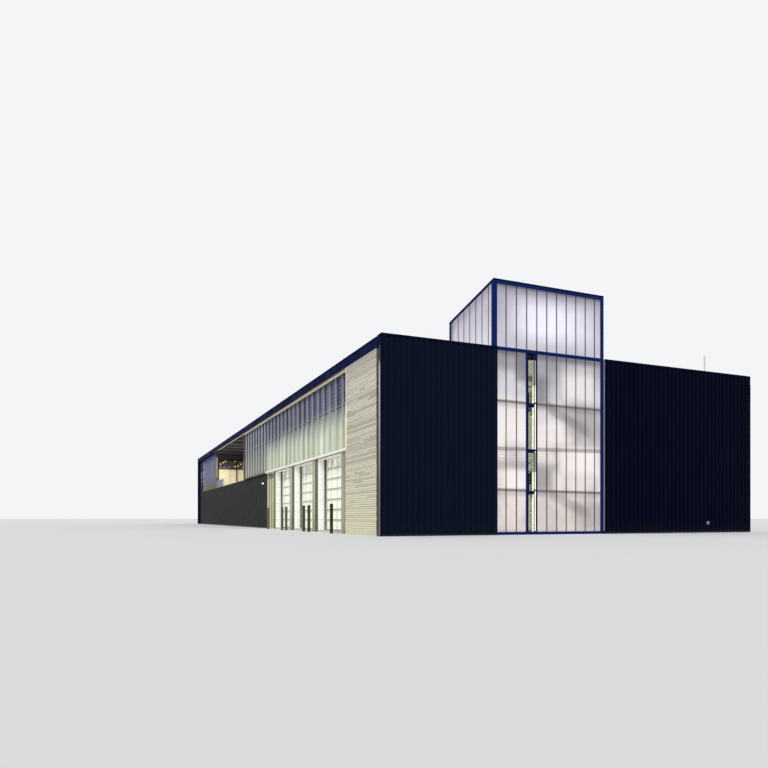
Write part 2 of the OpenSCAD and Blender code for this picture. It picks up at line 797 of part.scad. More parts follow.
module guard_posts() color("darkolivegreen") both_sides() building()
    for (i = [0 : bay_count - 1], y = [0, bay_w])
        translate([-post_out, first_bay_y + i * bay_pitch + y, 0]) guard_post();

// Wall light: a box with a sloping face that throws its light down
module wall_light() color("silver") building()
    translate([band_recess, wall_light_y, wall_light_z]) rotate([0, 0, 90]) yz_plate(wall_light_w)
        polygon([
            [0, 0], [wall_light_w, wall_light_rise],
            [wall_light_w, wall_light_rise + wall_light_lip], [0, wall_light_w]
        ]);

module wall_box() color("lightgray") building()
    translate([building_w - wall_box_in - wall_box_w, -wall_box_d, wall_box_z])
        cube([wall_box_w, wall_box_d, wall_box_w]);

module roof_mast() color("silver") building() translate([building_w - mast_in, mast_y, roof_z]) {
    cylinder(r = mast_base_r, h = mast_base_h);
    cylinder(r = mast_r, h = mast_h);
}

ground_slab();
upper_floor();
roof_deck();
fascias();
front_walls();
front_cladding();
corner_trims();
rear_wall();
tower_frame();
tower_lower_panels();
tower_upper_panels();
tower_side_panels();
tower_roof();
slot_window_frame();
slot_window_glass();
stair_back_wall();
stair_landings();
stair_flight_1();
stair_flight_2();
stair_flight_3();
stair_guards();
stone_walls();
band_glass();
band_fins();
bay_piers();
bay_doors_left();
bay_doors_right();
bay_door_panes();
channel_walls();
lower_walls();
far_panels_left();
upper_panels_right();
terrace_walls();
terrace_window_frame();
terrace_window_glass();
terrace_ceiling();
terrace_guard();
corner_window_frame();
corner_window_glass();
guard_posts();
wall_light();
wall_box();
roof_mast();
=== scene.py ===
import math
import random

import bmesh
import bpy
from mathutils import Matrix, Vector


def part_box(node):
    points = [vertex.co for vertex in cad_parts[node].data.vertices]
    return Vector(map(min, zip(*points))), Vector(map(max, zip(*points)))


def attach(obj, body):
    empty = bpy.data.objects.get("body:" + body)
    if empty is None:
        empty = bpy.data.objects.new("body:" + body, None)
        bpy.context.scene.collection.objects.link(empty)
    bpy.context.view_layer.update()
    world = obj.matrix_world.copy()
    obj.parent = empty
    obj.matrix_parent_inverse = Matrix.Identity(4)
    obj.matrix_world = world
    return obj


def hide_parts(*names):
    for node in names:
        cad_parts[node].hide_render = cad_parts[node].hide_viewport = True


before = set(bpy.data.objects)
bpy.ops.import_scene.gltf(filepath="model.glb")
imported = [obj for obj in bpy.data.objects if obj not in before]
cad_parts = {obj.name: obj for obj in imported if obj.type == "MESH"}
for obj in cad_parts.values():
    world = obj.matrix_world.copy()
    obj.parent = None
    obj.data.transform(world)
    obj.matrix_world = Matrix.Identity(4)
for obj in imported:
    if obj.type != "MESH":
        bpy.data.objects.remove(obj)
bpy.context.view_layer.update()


# Studio: a level camera at a walker's eye height off the near corner, a pale floor that runs to
# the horizon, one wide soft lamp from the front left and an even pale sky.
left_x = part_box("corner_trims")[0].x
front_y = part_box("front_cladding")[0].y

camera_turn = math.radians(22.72)
camera_height = 0.4535
camera_left_of_corner = 6.067
camera_before_corner = 14.712
picture_width = 768
focal_length_px = 649.27
horizon_px = 518
camera = bpy.data.objects.new("camera", bpy.data.cameras.new("camera"))
camera.location = (left_x - camera_left_of_corner, front_y - camera_before_corner, camera_height)
camera.rotation_euler = (math.radians(90), 0, -camera_turn)
camera.data.sensor_width = 36
camera.data.lens = camera.data.sensor_width * focal_length_px / picture_width
camera.data.shift_y = (horizon_px - picture_width / 2) / picture_width
camera.data.clip_end = 1000
bpy.context.scene.collection.objects.link(camera)
bpy.context.scene.camera = camera


# The helpers for nodes always work on the material that was made last.
def new_material(name, roughness, gloss=0.5, metallic=0.0):
    global material, tree, shader
    material = bpy.data.materials.new(name)
    material.use_nodes = True
    tree = material.node_tree
    shader = tree.nodes["Principled BSDF"]
    fill_in(shader, {"Roughness": roughness, "Specular IOR Level": gloss, "Metallic": metallic})
    return material


def fill_in(node, inputs):
    for name, value in inputs.items():
        if isinstance(value, bpy.types.NodeSocket):
            tree.links.new(value, node.inputs[name])
        else:
            node.inputs[name].default_value = value


def add_node(kind, inputs, **settings):
    made = tree.nodes.new(kind)
    for name, value in settings.items():
        setattr(made, name, value)
    fill_in(made, inputs)
    return made


def calc(operation, first, second=0.0):
    return add_node("ShaderNodeMath", {0: first, 1: second}, operation=operation).outputs[0]


floor_size = 600
mesh = bmesh.new()
bmesh.ops.create_grid(mesh, x_segments=1, y_segments=1, size=floor_size / 2)
floor_data = bpy.data.meshes.new("floor")
mesh.to_mesh(floor_data)
mesh.clear()
floor = bpy.data.objects.new("floor", floor_data)
bpy.context.scene.collection.objects.link(floor)

floor_data.materials.append(new_material("studio_floor", 0.9, 0.1))
fill_in(shader, {"Base Color": (0.80, 0.80, 0.79, 1)})

lamp_data = bpy.data.lights.new("soft_lamp", "SUN")
lamp_data.energy = 1.9
lamp_data.angle = math.radians(24)
lamp = bpy.data.objects.new("soft_lamp", lamp_data)
lamp.rotation_euler = (math.radians(54), 0, math.radians(-38))
bpy.context.scene.collection.objects.link(lamp)

sky = bpy.data.worlds.new("pale_sky")
sky.use_nodes = True
tree = sky.node_tree
sky_light = tree.nodes["Background"]
fill_in(sky_light, {"Color": (0.93, 0.96, 1.0, 1), "Strength": 0.56})
sky_seen = add_node("ShaderNodeBackground", {"Color": (0.90, 0.91, 0.93, 1), "Strength": 1.0})
ray = add_node("ShaderNodeLightPath", {}).outputs
seen_or_mirrored = calc("MAXIMUM", ray["Is Camera Ray"], ray["Is Glossy Ray"])
seen_at_all = calc("MAXIMUM", seen_or_mirrored, ray["Is Transmission Ray"])
sky_mix = add_node(
    "ShaderNodeMixShader", {"Fac": seen_at_all, 1: sky_light.outputs[0], 2: sky_seen.outputs[0]}
)
fill_in(tree.nodes["World Output"], {"Surface": sky_mix.outputs[0]})
bpy.context.scene.world = sky
bpy.context.scene.view_settings.view_transform = "Standard"


# Ground slab: cast concrete, floated smooth, with sawn joints at every second bay. It is seen
# through the glass at the foot of the tower only.
def object_place():
    return add_node("ShaderNodeTexCoord", {}).outputs["Object"]


def place_along(letter):
    return add_node("ShaderNodeSeparateXYZ", {"Vector": object_place()}).outputs[letter]


def noise(scale, detail=3.0, stretch=(1, 1, 1)):
    stretched = add_node("ShaderNodeMapping", {"Vector": object_place(), "Scale": stretch}).outputs[0]
    return add_node("ShaderNodeTexNoise", {"Vector": stretched, "Scale": scale, "Detail": detail}).outputs[0]


def minus(first, second):
    return calc("SUBTRACT", first, second)


def ramp(value, start, end, low=0.0, high=1.0):
    limits = {"Value": value, "From Min": start, "From Max": end, "To Min": low, "To Max": high}
    return add_node("ShaderNodeMapRange", limits, interpolation_type="SMOOTHSTEP").outputs[0]


def falling(value, start, end):
    return ramp(value, start, end, 1.0, 0.0)


def joint_lines(letter, first, pitch, width):
    away = calc("PINGPONG", minus(place_along(letter), first), pitch / 2)
    return falling(away, width / 4, width / 2)


def blend(factor, first, second):
    tones = [(*tone, 1) if isinstance(tone, tuple) else tone for tone in (first, second)]
    return add_node("ShaderNodeMix", {0: factor, 6: tones[0], 7: tones[1]}, data_type="RGBA").outputs[2]


def colour_with(colour, glow=0.0):
    fill_in(shader, {"Base Color": colour})
    if glow:
        fill_in(shader, {"Emission Color": colour, "Emission Strength": glow})


def roughen(value, low, high, start=0.3, end=0.7):
    fill_in(shader, {"Roughness": ramp(value, start, end, low, high)})


def emboss(height, distance):
    relief = add_node("ShaderNodeBump", {"Height": height, "Distance": distance, "Strength": 1.0})
    fill_in(shader, {"Normal": relief.outputs[0]})


def dress(*nodes):
    for name in nodes:
        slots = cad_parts[name].data.materials
        slots.clear()
        slots.append(material)


slab_joint_pitch = 3.0
new_material("floated_concrete", 0.8)
sawn = calc(
    "MAXIMUM", joint_lines("Y", front_y, slab_joint_pitch, 0.02), joint_lines("X", 0, slab_joint_pitch, 0.02)
)
colour_with(blend(sawn, blend(noise(1.4, 6), (0.50, 0.49, 0.46), (0.62, 0.61, 0.58)), (0.20, 0.20, 0.19)))
roughen(noise(5), 0.65, 0.9)
emboss(minus(noise(60, 5), sawn), 0.002)
dress("ground_slab")


# Upper floor: the same concrete, seen from the terrace, where open-jointed paving slabs lie on
# small pads above it so that rain drains between them.
def soften(edges, offset):
    bmesh.ops.bevel(
        mesh, geom=list(edges), offset=offset, affect="EDGES", segments=1, profile=0.5, material=-1,
    )


def add_block(low, high, bevel=0.001):
    low = Vector(low)
    high = Vector(high)
    place = Matrix.Translation((low + high) / 2) @ Matrix.Diagonal((*(high - low), 1))
    corners = bmesh.ops.create_cube(mesh, size=1.0, matrix=place)["verts"]
    if bevel:
        soften(dict.fromkeys(edge for corner in corners for edge in corner.link_edges), bevel)


# A piece takes over what was added to the open mesh since the last one.
def add_piece(name, slot, *finishes):
    data = bpy.data.meshes.new(name)
    mesh.to_mesh(data)
    mesh.clear()
    for finish in finishes or [material]:
        data.materials.append(finish)
    piece = bpy.data.objects.new(name, data)
    bpy.context.scene.collection.objects.link(piece)
    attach(piece, "root")
    return piece


new_material("floor_screed", 0.85)
colour_with(blend(noise(2, 5), (0.36, 0.35, 0.33), (0.46, 0.45, 0.43)))
emboss(noise(80, 4), 0.0015)
dress("upper_floor")

terrace_near_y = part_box("terrace_window_frame")[0].y
terrace_far_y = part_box("far_panels_left")[0].y
wall_t = 0.15
terrace_outer_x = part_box("lower_walls")[0].x + wall_t
terrace_inner_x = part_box("terrace_walls")[1].x - wall_t
paving_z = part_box("upper_floor")[1].z
paving_columns = 6
paving_rows = 33
paving_joint = 0.006
paving_t = 0.018
step_x = (terrace_inner_x - terrace_outer_x) / paving_columns
step_y = (terrace_far_y - terrace_near_y) / paving_rows
for column in range(paving_columns):
    for row in range(paving_rows):
        x = terrace_outer_x + column * step_x + paving_joint / 2
        y = terrace_near_y + row * step_y + paving_joint / 2
        add_block(
            (x, y, paving_z), (x + step_x - paving_joint, y + step_y - paving_joint, paving_z + paving_t), 0
        )
soften(mesh.edges[:], 0.002)
new_material("terrace_paving", 0.75)
slab_shade = blend(noise(3.3, 2), (0.34, 0.33, 0.32), (0.47, 0.46, 0.44))
colour_with(blend(ramp(noise(210, 2), 0.55, 0.7), slab_shade, (0.22, 0.21, 0.21)))
emboss(noise(150, 3), 0.001)
add_piece("terrace_paving", "concrete")


# Flat roof: grey single-ply membrane in sheets about 1 m wide, their laps welded, with an upstand
# against the parapet that a metal bar clamps.
roof_low, roof_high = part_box("roof_deck")
roof_z = roof_high.z
tower_low, tower_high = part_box("tower_frame")
lap_pitch = 0.99
lap_w = 0.05
lap_t = 0.003
upstand_t = 0.006
upstand_h = 0.075
clamp_h = 0.012
clamp_t = 0.011
upstand_z = roof_z + upstand_h
beside_tower = ((roof_low.x, tower_low.x), (tower_high.x, roof_high.x))
new_material("roof_membrane", 0.7)
ponding = ramp(noise(0.35, 6), 0.40, 0.75)
colour_with(blend(ponding, blend(noise(7, 3), (0.17, 0.18, 0.19), (0.22, 0.23, 0.24)), (0.235, 0.24, 0.245)))
roughen(ponding, 0.72, 0.55, 0, 1)
emboss(noise(110, 3), 0.0012)
dress("roof_deck")


def parapet_strips(thickness, low_z, bevel):
    for x in (roof_low.x, roof_high.x - thickness):
        add_block((x, roof_low.y, low_z), (x + thickness, roof_high.y, upstand_z), bevel)
    add_block((roof_low.x, roof_high.y - thickness, low_z), (roof_high.x, roof_high.y, upstand_z), bevel)
    for start, end in beside_tower:
        add_block((start, roof_low.y, low_z), (end, roof_low.y + thickness, upstand_z), bevel)


for row in range(1, int((roof_high.y - roof_low.y) / lap_pitch)):
    y = roof_low.y + row * lap_pitch
    past_tower = y >= tower_high.y + lap_w
    for start, end in [(roof_low.x, roof_high.x)] if past_tower else beside_tower:
        add_block((start, y, roof_z), (end, y + lap_w, roof_z + lap_t), 0)
parapet_strips(upstand_t, roof_z, 0)
for x in (tower_low.x - upstand_t, tower_high.x):
    add_block((x, roof_low.y, roof_z), (x + upstand_t, tower_high.y, upstand_z), 0)
add_block(
    (tower_low.x - upstand_t, tower_high.y, roof_z),
    (tower_high.x + upstand_t, tower_high.y + upstand_t, upstand_z), 0,
)
soften(mesh.edges[:], 0.001)
add_piece("roof_laps_and_upstands", "roof_membrane")

bright_metal = new_material("bright_metal", 0.34, metallic=1.0)
colour_with(blend(noise(30, 4, (1, 1, 8)), (0.50, 0.50, 0.49), (0.66, 0.66, 0.64)))
roughen(noise(18), 0.28, 0.5)
emboss(noise(260, 2), 0.0002)
parapet_strips(clamp_t, upstand_z - clamp_h, 0.001)
add_piece("upstand_clamps", "fitting_metal")


# Fascia: a box of folded sheet in deep blue paint, in lengths of about 3 m, with a pale soffit of
# narrow boards below it. The light it catches from the glass is painted on it, and it glows.
def times(first, second):
    return calc("MULTIPLY", first, second)


def painted_sheet(name, dark, light, roughness, gloss=0.1):
    new_material(name, roughness, gloss)
    washed = noise(5, 5, (1, 1, 0.5))
    dusty = ramp(noise(1.1, 4), 0.42, 0.75)
    faded = tuple(0.5 * first + 0.5 * second + 0.004 for first, second in zip(dark, light))
    colour_with(blend(times(dusty, 0.5), blend(washed, dark, light), faded))
    roughen(noise(4, 4, (1, 1, 0.5)), roughness - 0.07, roughness + 0.1)
    emboss(noise(140, 2), 0.0003)
    return material


painted_sheet("deep_blue_paint", (0.0014, 0.0044, 0.036), (0.0034, 0.0072, 0.053), 0.6, 0.015)
dress("fascias")

fascia_low, fascia_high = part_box("fascias")
soffit_z = fascia_low.z
band_low, band_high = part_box("band_glass")
band_x = band_low.x
band_near_y = band_low.y
field_pitch = 0.614
fascia_joint_pitch = 5 * field_pitch
cover_w = 0.03
cover_t = 0.003
cover_d = 0.012
soffit_t = 0.008
soffit_from_face = 0.006
soffit_from_glass = 0.064
board_w = 0.153
board_gap = 0.004


def mirror_to_right():
    whole = mesh.verts[:] + mesh.edges[:] + mesh.faces[:]
    bmesh.ops.mirror(mesh, geom=whole, matrix=Matrix.Identity(4), merge_dist=-1, axis="X")
    bmesh.ops.recalc_face_normals(mesh, faces=mesh.faces[:])


joint_y = band_near_y
while joint_y < fascia_high.y - cover_w:
    add_block(
        (left_x - cover_t, joint_y - cover_w / 2, soffit_z),
        (left_x + cover_d, joint_y + cover_w / 2, fascia_high.z),
    )
    joint_y += fascia_joint_pitch
mirror_to_right()
add_piece("fascia_joint_covers", "navy_metal")

new_material("cream_soffit_paint", 0.5)
# Painted light and shade: the soffit glows, is painted dark at its outer edge and darker still past the
# hall.
soffit_painted_light = blend(noise(9, 3), (0.80, 0.74, 0.56), (0.90, 0.85, 0.68))
edge_x = left_x + 0.058
shaded_outer_edge = falling(place_along("X"), edge_x, edge_x + 0.012)
soffit_painted_light = blend(shaded_outer_edge, soffit_painted_light, (0.26, 0.20, 0.07))
soffit_painted_light = blend(ramp(place_along("Y"), 8.2, 8.5), soffit_painted_light, (0.055, 0.050, 0.032))
colour_with(soffit_painted_light, 0.22)
roughen(noise(40), 0.42, 0.6)
emboss(noise(160, 2), 0.0003)
board_y = band_near_y
while board_y < terrace_far_y - board_w:
    add_block(
        (left_x + soffit_from_face, board_y + board_gap / 2, soffit_z - soffit_t),
        (band_x - soffit_from_glass, board_y + board_w - board_gap / 2, soffit_z),
    )
    board_y += board_w
mirror_to_right()
add_piece("soffit_boards", "fin_metal")


# Front walls: insulated steel panels that carry the ribbed sheet. Only their edges show, as a dark
# joint beside the corner trim; their matt black is painted shade of that open joint.
shade_black = painted_sheet("shade_black", (0.003, 0.003, 0.004), (0.006, 0.006, 0.007), 0.8, 0.02)
dress("front_walls")
# A black lining sheet in the joint is a painted shadow that darkens the open joint.
joint_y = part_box("stone_walls")[0].y
joint_lining_t = 0.003
joint_from_face = 0.002
joint_d = 0.020
add_block(
    (left_x + joint_from_face, joint_y - joint_lining_t, 0.0), (left_x + joint_d, joint_y, soffit_z), 0.0005
)
mirror_to_right()
add_piece("corner_joint_lining", "wall_core")


# Ribbed sheet: roll-formed steel painted near black, in sheets 1 m wide that lap on a rib, held by
# hexagon screws with washers in the valleys, along the rails behind.
def plus(first, second):
    return calc("ADD", first, second)


def foot_dirt(low_z, high_z, strength, scale):
    return times(ramp(place_along("Z"), low_z, high_z, strength, 0.0), ramp(noise(scale, 5), 0.35, 0.7))


def roll_finish(smooth, rough):
    roughen(noise(3, 5, (2, 2, 0.3)), smooth, rough)
    emboss(plus(noise(1.6, 2), times(noise(150, 2), 0.1)), 0.003)


new_material("near_black_sheet", 0.55, 0.02)
washed = noise(4, 5, (2.5, 2.5, 0.25))
# Painted light and shade: the sheet is painted lighter on the left half and darker on the right.
left_painted_light = blend(washed, (0.0026, 0.0052, 0.0150), (0.0048, 0.0080, 0.0200))
right_painted_shade = blend(washed, (0.0008, 0.0018, 0.0090), (0.0022, 0.0036, 0.0130))
sheet_light_and_shade = blend(ramp(place_along("X"), -3.1, 0.5), left_painted_light, right_painted_shade)
colour_with(blend(foot_dirt(0.02, 0.45, 0.5, 9), sheet_light_and_shade, (0.012, 0.012, 0.013)))
roll_finish(0.5, 0.68)
dress("front_cladding", "rear_wall")

rib_pitch = 0.165
valley_d = 0.030
washer_r = 0.0075
head_r = 0.0048
head_t = 0.004
screw_rows = (0.10, 1.20, 2.33, 3.58, 4.86)


def add_screw(place, outward):
    turn = Vector((0, 0, 1)).rotation_difference(Vector(outward)).to_matrix().to_4x4()
    for sides, radius, taper, height in ((8, washer_r, 0.8, head_t / 4), (6, head_r, 0.9, head_t)):
        bmesh.ops.create_cone(
            mesh, cap_ends=True, cap_tris=False, segments=sides, radius1=radius, radius2=radius * taper,
            depth=height, matrix=Matrix.Translation(place) @ turn @ Matrix.Translation((0, 0, height / 2)),
        )


def valleys(start, end):
    count = int((end - start) / rib_pitch + 1e-6)
    first = start + (end - start - count * rib_pitch) / 2
    return [first + index * rib_pitch for index in range(1, count)]


right_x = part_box("corner_trims")[1].x
rear_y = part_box("rear_wall")[1].y
trim_w = 0.018
over_tower = 0.110
front_sheets = ((left_x + trim_w, tower_low.x + over_tower), (tower_high.x, right_x - trim_w))
for start, end in front_sheets:
    for x in valleys(start, end):
        for z in screw_rows:
            add_screw((x, front_y + valley_d, z), (0, -1, 0))
for x in valleys(left_x, right_x):
    for z in screw_rows:
        add_screw((x, rear_y - valley_d, z), (0, 1, 0))
screw_paint = painted_sheet("screw_paint", (0.004, 0.006, 0.012), (0.008, 0.010, 0.018), 0.4, 0.2)
add_piece("end_wall_screws", "black_cladding")

parapet_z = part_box("rear_wall")[1].z
end_trim_t = 0.004
end_trim_low_z = 0.085
end_trim_gap = 0.001
add_block(
    (tower_high.x - end_trim_t, front_y + end_trim_gap, end_trim_low_z),
    (tower_high.x, tower_low.y - end_trim_gap, parapet_z),
)
new_material("sheet_end_trim", 0.45, metallic=0.3)
colour_with(blend(noise(7, 4, (1, 1, 0.3)), (0.34, 0.32, 0.34), (0.44, 0.42, 0.44)))
roughen(noise(30), 0.38, 0.52)
emboss(noise(200, 2), 0.0002)
add_piece("sheet_end_trim", "corner_trim")

lower_low, lower_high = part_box("lower_walls")
wall_x = lower_low.x
lower_rows = (0.10, 0.85, 1.60, 2.33)
painted_sheet("charcoal_sheet", (0.028, 0.026, 0.026), (0.043, 0.041, 0.040), 0.6, 0.03)
dress("lower_walls")
for y in valleys(lower_low.y, lower_high.y):
    for z in lower_rows:
        add_screw((wall_x + valley_d, y, z), (-1, 0, 0))
mirror_to_right()
add_piece("side_wall_screws", "black_cladding", screw_paint)

foot_h = 0.05
foot_t = 0.006
coping_t = 0.006
coping_drip = 0.045
coping_out = 0.008
coping_length = 1.52
coping_gap = 0.004
for start, end in front_sheets:
    add_block((start, front_y - foot_t, 0.0), (end, front_y, foot_h))
add_block((wall_x - foot_t, lower_low.y, 0.0), (wall_x, lower_high.y, foot_h))
add_block((-wall_x, lower_low.y, 0.0), (-wall_x + foot_t, lower_high.y, foot_h))
add_piece("foot_flashings", "black_cladding", screw_paint)


def coping_lengths(start, end):
    count = max(1, round((end - start) / coping_length))
    ends = [start + index * (end - start) / count for index in range(count + 1)]
    return [(low + coping_gap / 2, high - coping_gap / 2) for low, high in zip(ends, ends[1:])]


front_depth = 0.25
rear_depth = 0.26
coping_edge = 0.0015
for start, end, depth in (
    (left_x + trim_w, tower_low.x, front_depth),
    (tower_low.x, tower_low.x + over_tower, 0.05),
    (tower_high.x, right_x - trim_w, front_depth),
):
    for low_x, high_x in coping_lengths(start, end):
        for inner_y, low_z, high_z in (
            (front_y + depth, parapet_z, parapet_z + coping_t), (front_y, parapet_z - coping_drip, parapet_z)
        ):
            add_block((low_x, front_y - coping_out, low_z), (high_x, inner_y, high_z), coping_edge)
for low_x, high_x in coping_lengths(left_x, right_x):
    add_block((low_x, rear_y - rear_depth, parapet_z), (high_x, rear_y, parapet_z + coping_t), coping_edge)
for low_y, high_y in coping_lengths(front_y + front_depth, rear_y - rear_depth):
    for low_x, high_x in ((left_x - coping_out, roof_low.x), (roof_high.x, right_x + coping_out)):
        add_block((low_x, low_y, fascia_high.z), (high_x, high_y, fascia_high.z + coping_t), coping_edge)
coping_paint = painted_sheet("coping_paint", (0.0012, 0.0030, 0.014), (0.0026, 0.0050, 0.022), 0.5, 0.02)
add_piece("parapet_coping", "navy_metal")


# Corner trims: a flat bar of bright anodised metal up each front corner, between the ribbed sheet
# and the open joint before the stone.
new_material("anodised_trim", 0.42, 0.05)
# Painted light and shade: the bar is painted dark at the foot, bright higher up, dark again under the
# fascia, and black on the strip that faces into the joint.
trim_light_and_shade = blend(noise(6, 4, (1, 1, 0.4)), (0.13, 0.125, 0.12), (0.19, 0.185, 0.18))
trim_height = place_along("Z")
trim_light_and_shade = blend(ramp(trim_height, 0.8, 3.8), trim_light_and_shade, (0.52, 0.52, 0.56))
trim_light_and_shade = blend(ramp(trim_height, 4.12, 4.42), trim_light_and_shade, (0.022, 0.026, 0.055))
from_front = minus(place_along("Y"), front_y)
shaded_rear_strip = times(ramp(from_front, 0.026, 0.034), falling(from_front, 0.102, 0.110))
trim_light_and_shade = blend(shaded_rear_strip, (0.004, 0.005, 0.012), trim_light_and_shade)
colour_with(trim_light_and_shade)
roughen(noise(25, 4, (1, 1, 0.1)), 0.28, 0.48)
emboss(noise(300, 2, (1, 1, 0.05)), 0.0002)
dress("corner_trims")


# Tower frame: welded steel sections in deep blue paint, screwed together at the rails. Folded
# cappings cover the head and the sloping edges.
painted_sheet("tower_frame_paint", (0.0025, 0.0110, 0.076), (0.0050, 0.0190, 0.120), 0.5, 0.02)
dress("tower_frame")

post_w = 0.11
tower_back_z = tower_high.z - 0.510
tower_front_y = tower_low.y
roof_slope = math.atan2(tower_high.z - tower_back_z, tower_high.y - tower_low.y)
slope_length = math.hypot(tower_high.z - tower_back_z, tower_high.y - tower_low.y)
on_slope = Matrix.Translation((0, tower_front_y, tower_high.z)) @ Matrix.Rotation(-roof_slope, 4, "X")
capping_t = 0.005
capping_h = 0.035
add_block(
    (tower_low.x - capping_t, tower_front_y - capping_t, tower_high.z - capping_h),
    (tower_high.x + capping_t, tower_front_y, tower_high.z),
)
add_block(
    (tower_low.x - capping_t, tower_high.y, tower_back_z - capping_h),
    (tower_high.x + capping_t, tower_high.y + capping_t, tower_back_z),
)
for x in (tower_low.x - capping_t, tower_high.x):
    already = len(mesh.verts)
    add_block((x, 0, -capping_h), (x + capping_t, slope_length, 0))
    mesh.verts.ensure_lookup_table()
    bmesh.ops.transform(mesh, verts=mesh.verts[already:], matrix=on_slope)
add_piece("tower_cappings", "navy_metal", coping_paint)

left_post_x = tower_low.x + post_w / 2
right_post_x = tower_high.x - post_w / 2
for x, z in (
    (right_post_x, 0.040),
    (left_post_x, 4.98),
    (right_post_x, 4.98),
    (left_post_x, 6.765),
    (right_post_x, 6.765),
):
    for step in (-0.02, 0.02):
        add_screw((x + step, tower_front_y, z), (0, -1, 0))
add_piece("tower_frame_screws", "navy_metal", screw_paint)


# Translucent panels: milky multiwall sheets standing side by side, their joints under narrow metal
# battens. The landings, rails and flights of the stair are painted on them as soft shadows, and the
# sheets glow with painted light from inside.
panel_pitch = 0.330
front_panel_first = 0.395
side_panel_first = 0.270
batten_w = 0.026
batten_t = 0.004
batten_front = 0.007
flute_pitch = 0.0205
lower_field_z = [corner.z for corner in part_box("tower_lower_panels")]
upper_field_z = [corner.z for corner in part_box("tower_upper_panels")]
slot_frame_low, slot_frame_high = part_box("slot_window_frame")
landing_levels = (1.21, 2.30, 3.585)


def band_across(height, level, half, soft):
    return falling(calc("ABSOLUTE", minus(height, level)), half, half + soft)


def slanting_band(along, height, high_end, low_end, half, soft):
    slope = (low_end[1] - high_end[1]) / (low_end[0] - high_end[0])
    run = times(minus(along, high_end[0]), slope)
    above = minus(minus(height, high_end[1]), run)
    first_end = ramp(along, high_end[0] - 0.08, high_end[0] + 0.08)
    last_end = falling(along, low_end[0] - 0.10, low_end[0] + 0.45)
    return times(band_across(above, 0.0, half, soft), times(first_end, last_end))


def patch(along, height, middle, half, soft):
    across = band_across(along, middle[0], half[0], soft)
    return times(across, band_across(height, middle[1], half[1], soft))


def shade(tint, where, strength, tone):
    return blend(times(where, strength), tint, tone)


def flutes(letter):
    return falling(calc("PINGPONG", place_along(letter), flute_pitch / 2), 0, flute_pitch / 4)


def batten_shadow(along, first):
    away = calc("PINGPONG", minus(along, first), panel_pitch / 2)
    return falling(away, batten_w / 2, batten_w / 2 + 0.022)


def milky(tint, letter, groove_tone):
    grooves = flutes(letter)
    # The sheets glow a little, as painted light from inside the tower.
    colour_with(shade(tint, grooves, 0.08, groove_tone), 0.25)
    fill_in(shader, {"Coat Weight": 0.12, "Coat Roughness": 0.2})
    emboss(grooves, 0.0006)


stair_shadow_grey = (0.165, 0.155, 0.165)
landing_shadow_grey = (0.085, 0.078, 0.085)
new_material("milky_panel_lower", 0.42, 0.3)
along = minus(place_along("X"), tower_low.x)
height = place_along("Z")
tilted = plus(height, times(along, 0.012))
rising = minus(height, times(along, 0.018))
# All the tones of these sheets are painted light and shade: lighter low and darker high, painted shadows of
# the stair, landings, treads and battens, lit patches and a darker foot.
tint = blend(ramp(height, 2.0, 4.6), (0.70, 0.63, 0.60), (0.54, 0.52, 0.57))
tint = shade(tint, ramp(noise(1.1, 3), 0.38, 0.68), 0.46, (0.34, 0.32, 0.34))
tint = shade(tint, batten_shadow(along, front_panel_first), 0.35, (0.20, 0.18, 0.19))
for middle, half, soft, strength in (
    ((1.50, 3.95), (0.05, 0.22), 0.45, 0.84),
    ((0.95, 4.50), (0.12, 0.22), 0.25, 0.78),
    ((0.45, 4.62), (0.25, 0.10), 0.25, 0.40),
    ((1.60, 4.50), (0.35, 0.20), 0.45, 0.42),
    ((1.55, 1.52), (0.20, 0.14), 0.38, 0.70),
    ((0.55, 1.88), (0.55, 0.03), 0.22, 0.46),
    ((1.70, 1.86), (0.35, 0.03), 0.22, 0.36),
    ((2.95, 3.25), (0.45, 0.20), 0.45, 0.46),
    ((3.20, 0.50), (0.30, 0.20), 0.45, 0.44),
    ((3.20, 2.65), (0.35, 0.08), 0.38, 0.36),
):
    tint = shade(tint, patch(along, height, middle, half, soft), strength, stair_shadow_grey)
for upper, lower, strength in (((1.75, 3.50), (3.03, 2.95), 0.60), ((1.80, 1.13), (3.00, 0.63), 0.46)):
    tint = shade(tint, slanting_band(along, height, upper, lower, 0.055, 0.20), strength, stair_shadow_grey)
# Painted light: brighter patches where the light inside falls on the sheets.
for middle, half, soft, strength in (
    ((0.60, 3.05), (0.40, 0.45), 0.35, 0.62),
    ((0.75, 1.50), (0.30, 0.15), 0.20, 0.70),
    ((2.80, 4.20), (0.35, 0.30), 0.35, 0.50),
    ((1.85, 2.80), (0.35, 0.15), 0.30, 0.50),
    ((2.80, 2.05), (0.50, 0.20), 0.30, 0.65),
):
    tint = shade(tint, patch(along, height, middle, half, soft), strength, (0.83, 0.77, 0.74))
for level, half, soft, strength in (
    (4.93, 0.02, 0.20, 0.80),
    (4.70, 0.05, 0.30, 0.30),
    (landing_levels[2], 0.014, 0.045, 0.84),
    (landing_levels[2] - 0.05, 0.02, 0.14, 0.34),
    (landing_levels[0], 0.014, 0.045, 0.80),
    (landing_levels[0] - 0.06, 0.02, 0.14, 0.30),
    (0.10, 0.01, 0.06, 0.25),
):
    tint = shade(tint, band_across(tilted, level, half, soft), strength, landing_shadow_grey)
tint = shade(tint, band_across(rising, landing_levels[1], 0.035, 0.035), 0.55, landing_shadow_grey)
tread_shadows = times(
    joint_lines("Z", 2.21, 0.072, 0.026), patch(along, height, (0.9, 2.13), (0.9, 0.09), 0.06)
)
tint = shade(tint, tread_shadows, 0.26, (0.16, 0.15, 0.16))
tint = shade(tint, falling(height, 0.1, 1.0), 0.30, (0.46, 0.40, 0.34))
milky(tint, "X", (0.30, 0.29, 0.30))
dress("tower_lower_panels")

